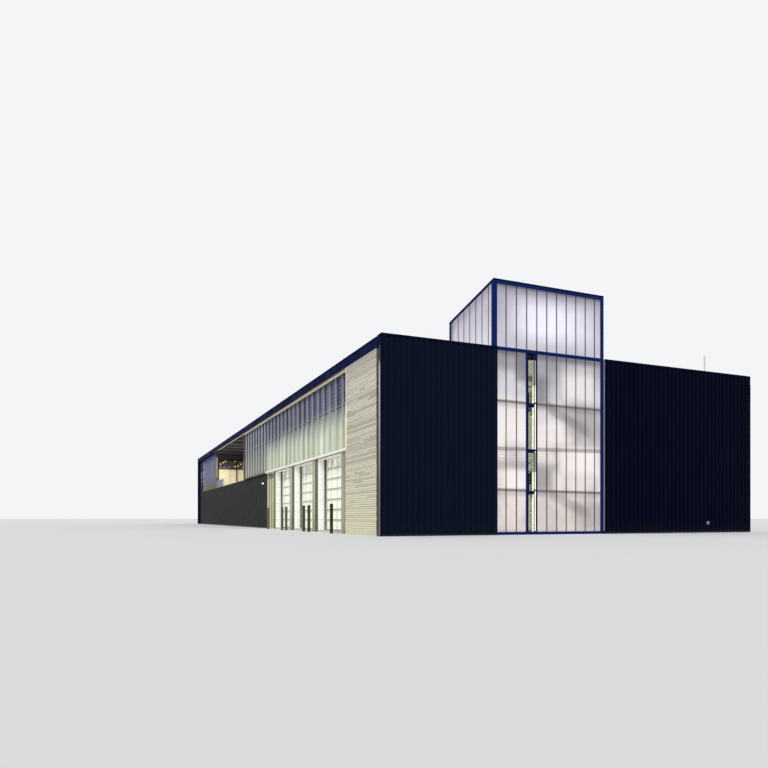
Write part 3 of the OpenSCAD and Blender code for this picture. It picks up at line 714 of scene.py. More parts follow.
new_material("milky_panel_upper", 0.42, 0.3)
along = minus(place_along("X"), tower_low.x)
height = place_along("Z")
# Painted light and shade: a lit glow in the middle, shade above the transom and dark under the head.
tint = blend(ramp(height, 5.0, 6.4), (0.48, 0.46, 0.51), (0.33, 0.31, 0.38))
lit = times(band_across(along, 1.95, 0.5, 1.5), band_across(height, 5.85, 0.20, 0.65))
tint = shade(tint, lit, 0.95, (0.79, 0.77, 0.88))
tint = shade(tint, falling(height, 5.02, 5.45), 0.35, (0.50, 0.48, 0.52))
tint = shade(tint, ramp(noise(1.2, 2), 0.4, 0.7), 0.2, (0.36, 0.34, 0.40))
tint = shade(tint, batten_shadow(along, front_panel_first), 0.35, (0.18, 0.17, 0.20))
tint = shade(tint, ramp(height, 6.42, 6.66), 0.62, (0.19, 0.18, 0.22))
tint = shade(tint, band_across(height, 6.70, 0.02, 0.07), 0.75, (0.075, 0.07, 0.10))
milky(tint, "X", (0.30, 0.29, 0.33))
dress("tower_upper_panels")

new_material("milky_panel_side", 0.42, 0.3)
along = minus(place_along("Y"), tower_low.y)
height = place_along("Z")
below_rail = plus(height, times(along, math.tan(roof_slope)))
# Painted light and shade: lighter low, darker high and under the sloping rail.
tint = blend(ramp(height, 4.9, 6.3), (0.84, 0.82, 0.90), (0.52, 0.50, 0.58))
tint = shade(tint, noise(1.8, 2), 0.2, (0.40, 0.38, 0.44))
tint = shade(tint, batten_shadow(along, side_panel_first), 0.3, (0.18, 0.17, 0.20))
tint = shade(tint, ramp(below_rail, 6.35, 6.70), 0.55, (0.20, 0.19, 0.24))
milky(tint, "Y", (0.30, 0.29, 0.33))
dress("tower_side_panels")

tower_w = tower_high.x - tower_low.x
tower_d = tower_high.y - tower_low.y
below_side_rail = 0.075
below_back_rail = 0.07


def joints_between(first, start, end):
    clear = 0.024
    places = [first + panel_pitch * index for index in range(int((end - first) / panel_pitch) + 1)]
    return [place for place in places if start + clear < place < end - clear]


for start, end, (low_z, high_z) in (
    (post_w, slot_frame_low.x - tower_low.x, lower_field_z),
    (slot_frame_high.x - tower_low.x, tower_w - post_w, lower_field_z),
    (post_w, tower_w - post_w, upper_field_z),
):
    for place in joints_between(front_panel_first, start, end):
        x = tower_low.x + place
        add_block(
            (x - batten_w / 2, tower_front_y + batten_front - batten_t, low_z + 0.006),
            (x + batten_w / 2, tower_front_y + batten_front, high_z - 0.006),
        )
above_roof = 0.06
side_low_z = roof_z + above_roof
for place in joints_between(side_panel_first, post_w, tower_d - post_w):
    y = tower_front_y + place
    high_z = tower_high.z - place * math.tan(roof_slope) - below_side_rail
    for x in (tower_low.x + batten_front - batten_t, tower_high.x - batten_front):
        add_block((x, y - batten_w / 2, side_low_z), (x + batten_t, y + batten_w / 2, high_z))
for place in joints_between(front_panel_first, post_w, tower_w - post_w):
    x = tower_high.x - place
    add_block(
        (x - batten_w / 2, tower_high.y - batten_front, side_low_z),
        (x + batten_w / 2, tower_high.y - batten_front + batten_t, tower_back_z - below_back_rail),
    )
painted_sheet("batten_metal", (0.022, 0.020, 0.024), (0.045, 0.042, 0.050), 0.45, 0.1)
add_piece("panel_batten_caps", "navy_metal")


# Tower roof: standing-seam steel sheet in grey paint that falls to the back. Its edges are folded
# up, and its seams are pressed together over hidden clips.
painted_sheet("seamed_roof_sheet", (0.060, 0.064, 0.075), (0.095, 0.100, 0.115), 0.45, 0.35)
dress("tower_roof")
seam_fields = 8
seam_pitch = (tower_w - 2 * post_w) / seam_fields
seam_w = 0.008
seam_h = 0.018
seam_from_front = 0.16
seam_from_back = 0.14
seam_foot = 0.004
for index in range(1, seam_fields):
    x = tower_low.x + post_w + index * seam_pitch
    add_block(
        (x - seam_w / 2, seam_from_front, -seam_foot),
        (x + seam_w / 2, slope_length - seam_from_back, seam_h), 0.0015,
    )
bmesh.ops.transform(mesh, verts=mesh.verts[:], matrix=on_slope)
add_piece("tower_roof_seams", "tower_roof")


# Slot window: clear glass in a narrow blue steel frame. A pale folded lining runs from the frame
# back to the stair; the light of a lamp behind it is painted on the lining, which glows.
painted_sheet("slot_frame_paint", (0.0020, 0.0085, 0.055), (0.0042, 0.0150, 0.090), 0.45, 0.02)
dress("slot_window_frame")
new_material("slot_glass", 0.03)
colour_with(blend(noise(2, 2), (0.92, 0.96, 0.94), (0.97, 0.99, 0.97)))
fill_in(shader, {"Transmission Weight": 1.0, "IOR": 1.1})
emboss(noise(3, 1), 0.0004)
dress("slot_window_glass")

slot_low, slot_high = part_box("slot_window_glass")
lining_t = 0.004
slot_back = slot_frame_high.y
lining_back = slot_back + 0.085
new_material("lit_lining", 0.5)
height = place_along("Z")
# Painted light and shade: bright low, darker high, with two bands of painted shadow.
lining_painted_light = blend(ramp(height, 3.7, 4.3), (0.84, 0.82, 0.66), (0.50, 0.50, 0.44))
lining_painted_light = shade(lining_painted_light, noise(6, 3, (1, 1, 0.3)), 0.3, (0.62, 0.60, 0.44))
lining_painted_light = shade(lining_painted_light, band_across(height, 4.42, 0.32, 0.04), 0.85, (0.25, 0.25, 0.16))
lining_painted_light = shade(lining_painted_light, band_across(height, 1.98, 0.25, 0.04), 0.85, (0.20, 0.20, 0.12))
colour_with(lining_painted_light, 0.75)
emboss(noise(120, 2), 0.0003)
for x in (slot_low.x - lining_t, slot_high.x):
    add_block((x, slot_back, slot_low.z), (x + lining_t, lining_back, slot_high.z))
add_piece("slot_lining", "fin_metal")

# Glazing beads: a pale angle beside each pane on its right side, in the glowing lining paint as a painted
# highlight.
bead_w = 0.017
bead_t = 0.003
bead_out = 0.003
bead_gap = 0.022
pane_ends = (slot_low.z, *landing_levels, slot_high.z - 0.16)
for low_z, high_z in zip(pane_ends, pane_ends[1:]):
    low = (slot_high.x - bead_t, slot_frame_low.y - bead_out, low_z + bead_gap)
    for x, y in ((slot_high.x + bead_w, slot_frame_low.y), (slot_high.x, slot_low.y)):
        add_block(low, (x, y, high_z - bead_gap), 0.0008)
add_piece("slot_glazing_beads", "fin_metal")


# Stair: steel flights with folded treads and pipe guards, and landings of concrete on steel. Each
# tread has a ribbed nosing strip.
painted_sheet("stair_paint", (0.040, 0.042, 0.048), (0.075, 0.078, 0.085), 0.45, 0.3)
dress("stair_flight_1", "stair_flight_2", "stair_flight_3", "stair_guards")
new_material("landing_concrete", 0.8)
colour_with(blend(noise(8, 5), (0.26, 0.26, 0.25), (0.40, 0.39, 0.37)))
emboss(noise(90, 4), 0.001)
dress("stair_landings")

nosing_w = 0.03
nosing_t = 0.003
nosing_inset = 0.03
tread_t = 0.015
riser_h = 0.089
for name, foot_left in (("stair_flight_1", False), ("stair_flight_2", True), ("stair_flight_3", False)):
    low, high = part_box(name)
    rise = high.z - low.z - tread_t
    count = round(rise / riser_h)
    going = (high.x - low.x) / (count - 1)
    for index in range(1, count):
        front = low.x + (index - 1) * going if foot_left else high.x - (index - 1) * going - nosing_w
        tread_z = low.z + index * rise / count
        add_block(
            (front, low.y + nosing_inset, tread_z),
            (front + nosing_w, high.y - nosing_inset, tread_z + nosing_t),
        )
new_material("nosing_strip", 0.6, metallic=0.6)
grooves = joint_lines("X", 0, 0.006, 0.003)
colour_with(blend(grooves, (0.32, 0.32, 0.31), (0.08, 0.08, 0.08)))
emboss(grooves, 0.001)
add_piece("tread_nosings", "fitting_metal")

new_material("stair_wall_stone", 0.85)
turn = (math.radians(-90), 0, 0)
upright = add_node("ShaderNodeMapping", {"Vector": object_place(), "Rotation": turn}).outputs[0]
courses = add_node(
    "ShaderNodeTexBrick",
    {
        "Vector": upright, "Color1": (0.80, 0.78, 0.62, 1), "Color2": (0.62, 0.60, 0.47, 1),
        "Mortar": (0.12, 0.12, 0.09, 1), "Scale": 1.0, "Mortar Size": 0.011, "Bias": 0.0,
        "Brick Width": 0.31, "Row Height": 0.072,
    },
)
# The wall glows with painted light from inside the tower.
colour_with(shade(courses.outputs["Color"], noise(12, 4), 0.5, (0.46, 0.45, 0.34)), 0.6)
emboss(minus(1.0, courses.outputs["Fac"]), 0.004)
dress("stair_back_wall")

wall_low, wall_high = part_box("stair_back_wall")
courses_t = 0.04
courses_below_roof = 0.55
add_block(
    (wall_low.x, wall_low.y, wall_high.z),
    (wall_high.x, wall_low.y + courses_t, tower_back_z - courses_below_roof), 0.002,
)
add_piece("stair_wall_upper_courses", "stone")
blind_h = 0.155
blind_d = 0.06
add_block((slot_low.x, slot_back, slot_high.z - blind_h), (slot_high.x, slot_back + blind_d, slot_high.z))
# The blind box takes the same black, as painted shade at the head of the slot.
add_piece("slot_blind_box", "wall_core", shade_black)


# Stone walls: split-face cream limestone in thin courses, laid in random lengths on a mortar bed
# round a solid core. The stones at the free end run through to the glass line.
stone_low, stone_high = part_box("stone_walls")
stone_t = 0.225
course_h = 0.058
stone_joint = 0.009
stone_shortest = 0.30
stone_longest = 1.10
face_depth = 0.07
face_step = 0.012
free_end_y = stone_high.y - 0.14
mortar = new_material("lime_mortar", 0.9)
colour_with(blend(noise(40, 4), (0.20, 0.18, 0.14), (0.29, 0.26, 0.20)))
emboss(noise(180, 4), 0.001)


def split_stone(name, dark, light):
    new_material(name, 0.85, 0.15)
    height = place_along("Z")
    along = place_along("Y")
    grain = noise(45, 6, (1, 1, 2.2))
    veined = ramp(noise(7, 5, (1, 0.6, 7)), 0.5, 0.62)
    pitted = ramp(noise(24, 5, (1, 1, 2)), 0.62, 0.70)
    colour = shade(blend(grain, dark, light), veined, 0.26, (0.36, 0.31, 0.21))
    colour = shade(colour, pitted, 0.30, (0.20, 0.18, 0.13))
    # Painted light and shade: the stone is painted lighter towards the foot and darker under the fascia.
    colour = shade(colour, falling(height, 0.1, 2.6), 0.55, (0.84, 0.805, 0.55))
    colour = shade(colour, ramp(height, 4.15, 4.50), 0.45, (0.42, 0.385, 0.40))
    # Painted shadow: the end of each stone in the open joint is painted black.
    joint_end_shadow = falling(along, stone_low.y + 0.022, stone_low.y + 0.030)
    colour = shade(colour, joint_end_shadow, 0.98, (0.004, 0.004, 0.004))
    # Painted light: the free end is painted pale and glows, brightest low down.
    lit_free_end = times(ramp(along, free_end_y, free_end_y + 0.02), ramp(height, 2.35, 2.45))
    below_light = falling(height, 3.45, 3.80)
    colour_with(shade(colour, lit_free_end, 0.85, blend(below_light, (0.66, 0.60, 0.48), (0.94, 0.91, 0.58))))
    lit_end = times(times(lit_free_end, below_light), 0.14)
    fill_in(shader, {"Emission Color": (0.90, 0.86, 0.52, 1), "Emission Strength": lit_end})
    emboss(plus(noise(28, 6, (1, 1, 1.8)), times(grain, 0.4)), 0.006)
    return material


stone_finishes = [
    mortar,
    split_stone("cream_stone_light", (0.67, 0.635, 0.53), (0.80, 0.765, 0.65)),
    split_stone("cream_stone_mid", (0.62, 0.59, 0.485), (0.75, 0.715, 0.60)),
    split_stone("cream_stone_warm", (0.55, 0.52, 0.415), (0.67, 0.635, 0.51)),
    split_stone("cream_stone_dark", (0.45, 0.425, 0.34), (0.57, 0.54, 0.44)),
]
chance = random.Random(11)
add_block(
    (stone_low.x + face_step, stone_low.y, stone_low.z),
    (stone_low.x + stone_t, stone_high.y - face_step, stone_high.z), 0,
)
core_edges = len(mesh.edges)
course_count = round((stone_high.z - stone_low.z) / course_h)
real_course_h = (stone_high.z - stone_low.z) / course_count
for course in range(course_count):
    low_z = stone_low.z + course * real_course_h + stone_joint / 2
    high_z = low_z + real_course_h - stone_joint
    y = stone_low.y
    course_tone = chance.choice((1, 1, 2, 2, 3, 3, 4))
    course_out = chance.uniform(0, face_step - 0.004)
    while y < stone_high.y:
        length = chance.uniform(stone_shortest, stone_longest)
        if stone_high.y - y - length < stone_shortest:
            length = stone_high.y - y
        ends_wall = y + length > stone_high.y - 1e-6
        outer_x = stone_low.x + course_out + chance.uniform(0, 0.003)
        inner_x = stone_low.x + (stone_t if ends_wall else face_depth)
        already = len(mesh.faces)
        add_block(
            (outer_x, y + stone_joint / 2, low_z),
            (inner_x, y + length - (0 if ends_wall else stone_joint / 2), high_z), 0,
        )
        mesh.faces.ensure_lookup_table()
        tone = course_tone if chance.random() < 0.82 else chance.choice((1, 2, 3, 4))
        for face in mesh.faces[already:]:
            face.material_index = tone
        y += length
soften(mesh.edges[core_edges:], 0.003)
mirror_to_right()
stone_courses = add_piece("stone_courses", "stone", *stone_finishes)
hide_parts("stone_walls")


# Glazed band: storey-high sheets of clear glass, held in black gaskets by pressed metal fins. A
# painted reflection of the dusk lies on their upper part and the painted light of the lit hall, which
# glows, on their lower part.
def lit_by_hall(height):
    lift = times(noise(0.8, 3, (1, 1, 0.4)), 0.7)
    return falling(plus(height, lift), 3.35, 4.35)


new_material("band_glass", 0.08, 0.04)
height = place_along("Z")
from_near = minus(place_along("Y"), band_near_y)
field = calc("FLOOR", calc("DIVIDE", from_near, field_pitch))
field_tone = add_node("ShaderNodeTexWhiteNoise", {"W": field}, noise_dimensions="1D").outputs[0]
lit_hall = lit_by_hall(height)
far_end = ramp(from_near, 10.2, 11.4)
streaks = noise(2.2, 3, (1, 5, 0.05))
dark_streaks = falling(streaks, 0.40, 0.50)
reflection_streaks = ramp(streaks, 0.56, 0.64)
# Painted light and reflection: the hall's light with streaks of painted shade below, the dusk as a painted
# reflection with light streaks above, both painted darker at the far end.
hall_light_tone = blend(noise(2.6, 3, (1, 1, 0.15)), (0.48, 0.52, 0.40), (0.74, 0.79, 0.65))
hall_light_tone = shade(hall_light_tone, field_tone, 0.28, (0.34, 0.37, 0.28))
hall_light_tone = shade(hall_light_tone, dark_streaks, 0.8, (0.25, 0.27, 0.19))
hall_light_tone = shade(hall_light_tone, far_end, 0.90, (0.075, 0.080, 0.095))
dusk_reflection_tone = blend(noise(1.7, 3, (1, 1, 0.3)), (0.006, 0.010, 0.056), (0.027, 0.038, 0.145))
dusk_reflection_tone = shade(dusk_reflection_tone, field_tone, 0.5, (0.12, 0.12, 0.19))
dusk_reflection_tone = shade(dusk_reflection_tone, reflection_streaks, 0.6, (0.24, 0.24, 0.31))
dusk_reflection_tone = shade(dusk_reflection_tone, far_end, 0.8, (0.042, 0.048, 0.080))
rungs = times(joint_lines("Z", 3.80, 0.13, 0.03), falling(place_along("Y"), -13.8, -13.2))
dusk_reflection_tone = shade(dusk_reflection_tone, rungs, 0.35, (0.20, 0.23, 0.30))
colour_with(blend(lit_hall, dusk_reflection_tone, hall_light_tone))
fill_in(shader, {"Emission Color": blend(lit_hall, (0.0, 0.0, 0.0), hall_light_tone), "Emission Strength": 0.25})
emboss(noise(1.2, 2), 0.0015)
dress("band_glass")

new_material("fin_paint", 0.4, 0.15)
fin_tip_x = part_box("band_fins")[1].x
height = place_along("Z")
from_near = minus(place_along("Y"), band_near_y)
far_end = ramp(from_near, 10.2, 11.4)
# The fins' tones are painted light and shade: lit low and dark high, shaded beside the glass at the far end,
# a painted bright edge on sill and head, painted shade on the far sill and the transom lit like the glass.
fin_tone = blend(ramp(height, 2.6, 4.4), (0.66, 0.68, 0.56), (0.29, 0.30, 0.33))
far_tone = blend(ramp(height, 2.45, 3.20), (0.94, 0.91, 0.74), (0.70, 0.72, 0.72))
depth = calc("ABSOLUTE", place_along("X"))
shaded_fin_side = falling(depth, fin_tip_x - 0.030, fin_tip_x - 0.016)
far_tone = blend(shaded_fin_side, far_tone, blend(ramp(height, 2.6, 4.3), (0.56, 0.55, 0.46), (0.34, 0.37, 0.43)))
far_tone = blend(ramp(from_near, 15.72, 15.73), far_tone, (0.060, 0.060, 0.050))
fin_tone = blend(far_end, fin_tone, far_tone)
fin_tone = shade(fin_tone, noise(6, 4, (1, 1, 0.1)), 0.35, (0.26, 0.27, 0.24))
sill_and_head = calc("MAXIMUM", falling(height, 2.465, 2.475), ramp(height, 4.660, 4.670))
lit_edge_tone = blend(falling(height, 2.5, 2.6), (0.80, 0.79, 0.64), (0.93, 0.92, 0.78))
shaded_far_sill = times(ramp(from_near, 10.84, 10.86), falling(height, 2.5, 2.6))
fin_tone = blend(sill_and_head, fin_tone, blend(shaded_far_sill, lit_edge_tone, (0.06, 0.06, 0.06)))
on_fin = joint_lines("Y", band_near_y, field_pitch, 0.06)
between_fins = times(band_across(height, 3.75, 0.014, 0.004), minus(1.0, on_fin))
transom_tone = blend(lit_by_hall(height), (0.05, 0.055, 0.11), (0.56, 0.60, 0.48))
transom_tone = blend(far_end, transom_tone, (0.10, 0.11, 0.14))
fin_tone = blend(between_fins, fin_tone, transom_tone)
colour_with(fin_tone)
roughen(noise(20, 3, (1, 1, 0.2)), 0.32, 0.5)
emboss(noise(200, 2), 0.0002)
dress("band_fins")

band_far_y = band_high.y
fin_count = 26
gasket_w = 0.007
gasket_t = 0.006
fin_half = 0.015
glass_low_z = band_low.z + 0.070
glass_high_z = soffit_z - 0.030
for index in range(fin_count + 1):
    middle = band_near_y + index * field_pitch
    for start in (middle - fin_half - gasket_w, middle + fin_half):
        if band_near_y - 1e-6 < start < band_far_y - gasket_w:
            add_block((band_x - gasket_t, start, glass_low_z), (band_x, start + gasket_w, glass_high_z))
for low_z, high_z in ((glass_low_z, glass_low_z + 0.018), (glass_high_z - gasket_w, glass_high_z)):
    add_block((band_x - gasket_t, band_near_y, low_z), (band_x, band_far_y, high_z))
mirror_to_right()
gasket_rubber = new_material("gasket_rubber", 0.7, 0.1)
colour_with(blend(noise(30, 3), (0.010, 0.010, 0.010), (0.026, 0.026, 0.026)))
emboss(noise(300, 2), 0.0002)
add_piece("band_gaskets", "black_cladding")


# Vehicle bays: olive-grey painted piers and header of folded steel, with white washable linings in
# the reveals and a dark guide box up each side of a door.
new_material("olive_pier_paint", 0.5, 0.15)
pier_tone = blend(noise(4, 4, (1, 1, 0.35)), (0.40, 0.40, 0.285), (0.51, 0.51, 0.385))
door_low, door_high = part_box("bay_doors_left")
bay_pitch = 3.0
bays_along = calc("DIVIDE", minus(place_along("Y"), door_low.y), bay_pitch)
# Painted shade: part of each pier is painted darker, and the first pier carries a painted shadow that
# deepens upwards.
pier_shaded_part = falling(calc("FRACT", bays_along), 0.885, 0.900)
pier_tone = shade(pier_tone, pier_shaded_part, 0.95, (0.105, 0.10, 0.05))
first_pier_shadow = times(falling(place_along("Y"), -15.10, -15.05), ramp(place_along("Z"), 0.8, 2.1, 0.15, 0.6))
pier_tone = blend(first_pier_shadow, pier_tone, (0.17, 0.165, 0.11))
colour_with(blend(foot_dirt(0.0, 0.6, 0.6, 7), pier_tone, (0.13, 0.125, 0.09)))
roughen(noise(12), 0.42, 0.6)
emboss(noise(130, 2), 0.0003)
dress("bay_piers")

bay_w = 2.375
bay_starts = [door_low.y + index * bay_pitch for index in range(3)]
header_z = door_high.z
lining_front_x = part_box("bay_piers")[0].x + 0.012
lining_back_x = door_low.x - 0.001
door_front_x = door_low.x
lining_sheet_t = 0.005
lining_sheet_h = 0.331
lining_gap = 0.004
new_material("white_lining", 0.35, 0.2)
lining_shade = blend(noise(3, 4), (0.80, 0.80, 0.76), (0.88, 0.88, 0.85))
scuffed = times(ramp(place_along("Z"), 0.1, 0.8, 0.5, 0.0), ramp(noise(18, 5, (1, 1, 0.5)), 0.5, 0.72))
lining_shade = blend(scuffed, lining_shade, (0.52, 0.50, 0.45))
# The linings glow a little: painted light on the reveals.
colour_with(lining_shade, 0.16)
emboss(noise(6, 3), 0.001)
for bay_y in bay_starts:
    for y in (bay_y, bay_y + bay_w - lining_sheet_t):
        z = door_low.z
        while z < header_z - 1e-6:
            top = min(z + lining_sheet_h, header_z)
            add_block(
                (lining_front_x, y, z + lining_gap / 2),
                (lining_back_x, y + lining_sheet_t, top - lining_gap / 2),
            )
            z = top
    add_block(
        (lining_front_x, bay_y + lining_sheet_t, header_z - lining_sheet_t),
        (lining_back_x, bay_y + bay_w - lining_sheet_t, header_z),
    )
mirror_to_right()
add_piece("bay_linings", "door_metal")

guide_w = 0.085
guide_d = 0.035
new_material("guide_paint", 0.5, 0.08)
# The guides' dark olive is partly their paint and partly painted shade in the jamb, darkest at the top.
guide_paint_and_shade = blend(ramp(place_along("Z"), 0.3, 2.2), (0.19, 0.185, 0.13), (0.06, 0.06, 0.028))
colour_with(shade(guide_paint_and_shade, noise(5, 4), 0.3, (0.10, 0.10, 0.06)))
emboss(noise(140, 2), 0.0003)
for bay_y in bay_starts:
    for start in (bay_y + lining_sheet_t, bay_y + bay_w - lining_sheet_t - guide_w):
        add_block(
            (door_front_x - guide_d, start, door_low.z),
            (door_front_x, start + guide_w, header_z - lining_sheet_t), 0.004,
        )
mirror_to_right()
add_piece("door_guides", "pier_metal")

section_count = 7
section_h = (header_z - door_low.z) / section_count
hinge_line_w = 0.018
hinge_line_h = 0.29
hinge_from_guide = 0.07
for bay_y in bay_starts:
    near_line = bay_y + guide_w + hinge_from_guide
    far_line = bay_y + bay_w - guide_w - hinge_from_guide - hinge_line_w
    for y in (near_line, far_line):
        for section in range(section_count - 1):
            z = door_low.z + 0.02 + section * section_h
            add_block((door_front_x - 0.004, y, z), (door_front_x, y + hinge_line_w, z + hinge_line_h))
mirror_to_right()
painted_sheet("hinge_strip_metal", (0.30, 0.29, 0.24), (0.42, 0.41, 0.36), 0.5, 0.1)
add_piece("door_hinge_strips", "fitting_metal")


# Sectional doors: seven sections of white aluminium rails, each glazed with four panes that glow
# with the hall behind. Pale beads hold the panes, and a rubber strip closes the foot.
new_material("white_door_paint", 0.36, 0.2)
door_shade = blend(noise(5, 4, (1, 1, 0.5)), (0.73, 0.72, 0.63), (0.85, 0.84, 0.74))
colour_with(blend(foot_dirt(0.0, 0.5, 0.6, 12), door_shade, (0.33, 0.31, 0.26)))
roughen(noise(15), 0.28, 0.46)
emboss(noise(160, 2), 0.0002)
dress("bay_doors_left", "bay_doors_right")

new_material("lit_door_pane", 0.12, 0.1)
# Painted light: the panes glow with the hall's light, with painted shade in their upper part.
pane_tone = blend(noise(0.9, 3, (1, 1, 0.6)), (0.78, 0.77, 0.64), (0.92, 0.92, 0.83))
upper_shade = times(ramp(place_along("Z"), 1.7, 2.3), ramp(noise(3.1, 3), 0.4, 0.6))
pane_tone = blend(times(upper_shade, 0.7), pane_tone, (0.36, 0.37, 0.32))
colour_with(pane_tone, 0.25)
emboss(noise(2, 2), 0.001)
dress("bay_door_panes")

pane_count = 4
door_rail = 0.028
bead_w = 0.006
bead_t = 0.005
pane_w = (bay_w - (pane_count + 1) * door_rail) / pane_count
pane_h = section_h - 2 * door_rail
pane_face_x = door_high.x
for bay_y in bay_starts:
    for section in range(section_count):
        for column in range(pane_count):
            y = bay_y + door_rail + column * (pane_w + door_rail)
            z = door_low.z + section * section_h + door_rail
            for low, high in (
                ((y, z), (y + pane_w, z + bead_w)),
                ((y, z + pane_h - bead_w), (y + pane_w, z + pane_h)),
                ((y, z + bead_w), (y + bead_w, z + pane_h - bead_w)),
                ((y + pane_w - bead_w, z + bead_w), (y + pane_w, z + pane_h - bead_w)),
            ):
                add_block((pane_face_x - bead_t, *low), (pane_face_x, *high), 0)
mirror_to_right()
painted_sheet("pane_bead_paint", (0.52, 0.51, 0.43), (0.64, 0.63, 0.55), 0.4, 0.1)
add_piece("pane_beads", "door_metal")

joint_strip_h = 0.016
joint_strip_t = 0.003
leaf_inset = guide_w + 0.01
for bay_y in bay_starts:
    for section in range(1, section_count):
        z = door_low.z + section * section_h
        add_block(
            (door_front_x - joint_strip_t, bay_y + leaf_inset, z - joint_strip_h / 2),
            (door_front_x + joint_strip_t, bay_y + bay_w - leaf_inset, z + joint_strip_h / 2),
        )
mirror_to_right()
new_material("joint_rubber", 0.7, 0.05)
# The strips are dark rubber and also painted shade between the sections, darkest on the first bay.
past_first_bay = ramp(place_along("Y"), bay_starts[0] + bay_w, bay_starts[1])
joint_tone_and_shade = blend(past_first_bay, (0.13, 0.12, 0.085), (0.40, 0.39, 0.33))
joint_tone_and_shade = shade(joint_tone_and_shade, noise(9, 4), 0.3, (0.20, 0.19, 0.15))
colour_with(joint_tone_and_shade)
emboss(noise(200, 2), 0.0002)
add_piece("section_joint_strips", "black_cladding")

seal_h = 0.016
seal_t = 0.007
for bay_y in bay_starts:
    add_block(
        (door_front_x - seal_t, bay_y + leaf_inset, door_low.z),
        (door_front_x, bay_y + bay_w - leaf_inset, door_low.z + seal_h), 0.002,
    )
mirror_to_right()
add_piece("door_foot_seals", "black_cladding", gasket_rubber)

handle_w = 0.11
handle_out = 0.032
grip_t = 0.010
handle_low_z = door_low.z + section_h + 0.010
handle_high_z = handle_low_z + 0.012
for bay_y in bay_starts:
    middle = bay_y + bay_w / 2
    for y in (middle - handle_w / 2, middle + handle_w / 2 - grip_t):
        add_block((door_front_x - 0.028, y, handle_low_z), (door_front_x, y + grip_t, handle_high_z), 0.002)
    add_block(
        (door_front_x - handle_out, middle - handle_w / 2, handle_low_z),
        (door_front_x - handle_out + grip_t, middle + handle_w / 2, handle_high_z), 0.003,
    )
mirror_to_right()
add_piece("door_pull_handles", "fitting_metal", bright_metal)


# Channel glass walls: upright U-shaped planks of cast glass, which look dark where their flanges
# meet. They stand in an aluminium sill and are held by a like head.
channel_low, channel_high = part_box("channel_walls")
new_material("channel_glass", 0.22, 0.1)
height = place_along("Z")
plank_edge = joint_lines("Y", channel_low.y + 0.12, 0.4425, 0.30)
plank_tone = blend(plank_edge, (0.60, 0.61, 0.42), (0.21, 0.21, 0.10))
plank_tone = shade(plank_tone, noise(7, 3, (1, 1, 0.05)), 0.35, (0.36, 0.37, 0.26))
# Painted shade: the top of the wall under the band's sill is painted dark and mottled. The planks glow with
# painted light.
shaded_top_mottle = times(ramp(height, 2.10, 2.18), ramp(noise(12, 3), 0.40, 0.52))
plank_tone = shade(plank_tone, shaded_top_mottle, 0.85, (0.035, 0.035, 0.022))
colour_with(plank_tone, 0.16)
emboss(noise(26, 3, (1, 1, 0.12)), 0.002)
dress("channel_walls")

rail_h = 0.03
for low_z in (0.0, channel_high.z - rail_h):
    add_block(
        (channel_low.x - 0.004, channel_low.y, low_z),
        (channel_low.x + 0.018, channel_high.y, low_z + rail_h), 0.002,
    )
mirror_to_right()
add_piece("channel_sill_and_head", "fitting_metal", bright_metal)


# Upper wall panels: the same ribbed sheet in grey-blue paint, over the channel glass on the left
# side and all along the right. Hexagon screws in its valleys hold it to the rails.
new_material("grey_blue_sheet", 0.45, 0.08)
sheet_tone = blend(noise(4, 5, (2, 2, 0.3)), (0.105, 0.118, 0.195), (0.180, 0.198, 0.285))
sheet_tone = shade(sheet_tone, ramp(noise(2.4, 2, (1, 1, 0.02)), 0.50, 0.58), 0.7, (0.23, 0.25, 0.31))
sheet_tone = shade(sheet_tone, ramp(place_along("Z"), 4.10, 4.45), 0.55, (0.04, 0.065, 0.20))
low_tone = blend(noise(6, 4), (0.125, 0.125, 0.065), (0.18, 0.18, 0.10))
colour_with(blend(ramp(place_along("Z"), 2.4, 3.3), low_tone, sheet_tone))
roll_finish(0.48, 0.62)
dress("far_panels_left", "upper_panels_right")

upper_rows = (2.50, 3.55, 4.62)
for name, face_x, outward in (
    ("far_panels_left", wall_x + valley_d, -1), ("upper_panels_right", -wall_x - valley_d, 1)
):
    low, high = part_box(name)
    for y in valleys(low.y, high.y):
        for z in upper_rows:
            add_screw((face_x, y, z), (outward, 0, 0))
painted_sheet("grey_screw_paint", (0.10, 0.11, 0.15), (0.17, 0.18, 0.23), 0.38)
add_piece("upper_panel_screws", "grey_panel")


# Terrace: a room open to the side, lined with dark panels. Its ceiling is a deep ribbed sheet and
# its two inner sides are storey-high windows; the warm-lit room behind them is painted on the glass,
# which glows.
new_material("terrace_lining", 0.55, 0.1)
panel_joint = calc(
    "MAXIMUM", joint_lines("Y", terrace_near_y, 0.6, 0.006), joint_lines("Z", 2.3, 0.6, 0.006)
)
lining_shade = blend(noise(4, 4), (0.068, 0.061, 0.068), (0.095, 0.087, 0.095))
colour_with(blend(panel_joint, lining_shade, (0.004, 0.004, 0.004)))
emboss(minus(noise(90, 3), panel_joint), 0.0015)
dress("terrace_walls")

new_material("ceiling_sheet", 0.5, 0.1)
ceiling_low_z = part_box("terrace_ceiling")[0].z
# Painted shade: the recesses between the ribs are painted dark, only the rib faces keep their tone.
rib_face = falling(place_along("Z"), ceiling_low_z + 0.002, ceiling_low_z + 0.012)
rib_tone = blend(joint_lines("Y", 6.34, 1.72, 0.95), (0.045, 0.041, 0.045), (0.30, 0.29, 0.32))
rib_tone = shade(rib_tone, noise(3, 4), 0.25, (0.10, 0.09, 0.09))
colour_with(blend(rib_face, (0.035, 0.033, 0.030), rib_tone))
roughen(noise(8), 0.42, 0.6)
emboss(noise(120, 2), 0.0003)
dress("terrace_ceiling")

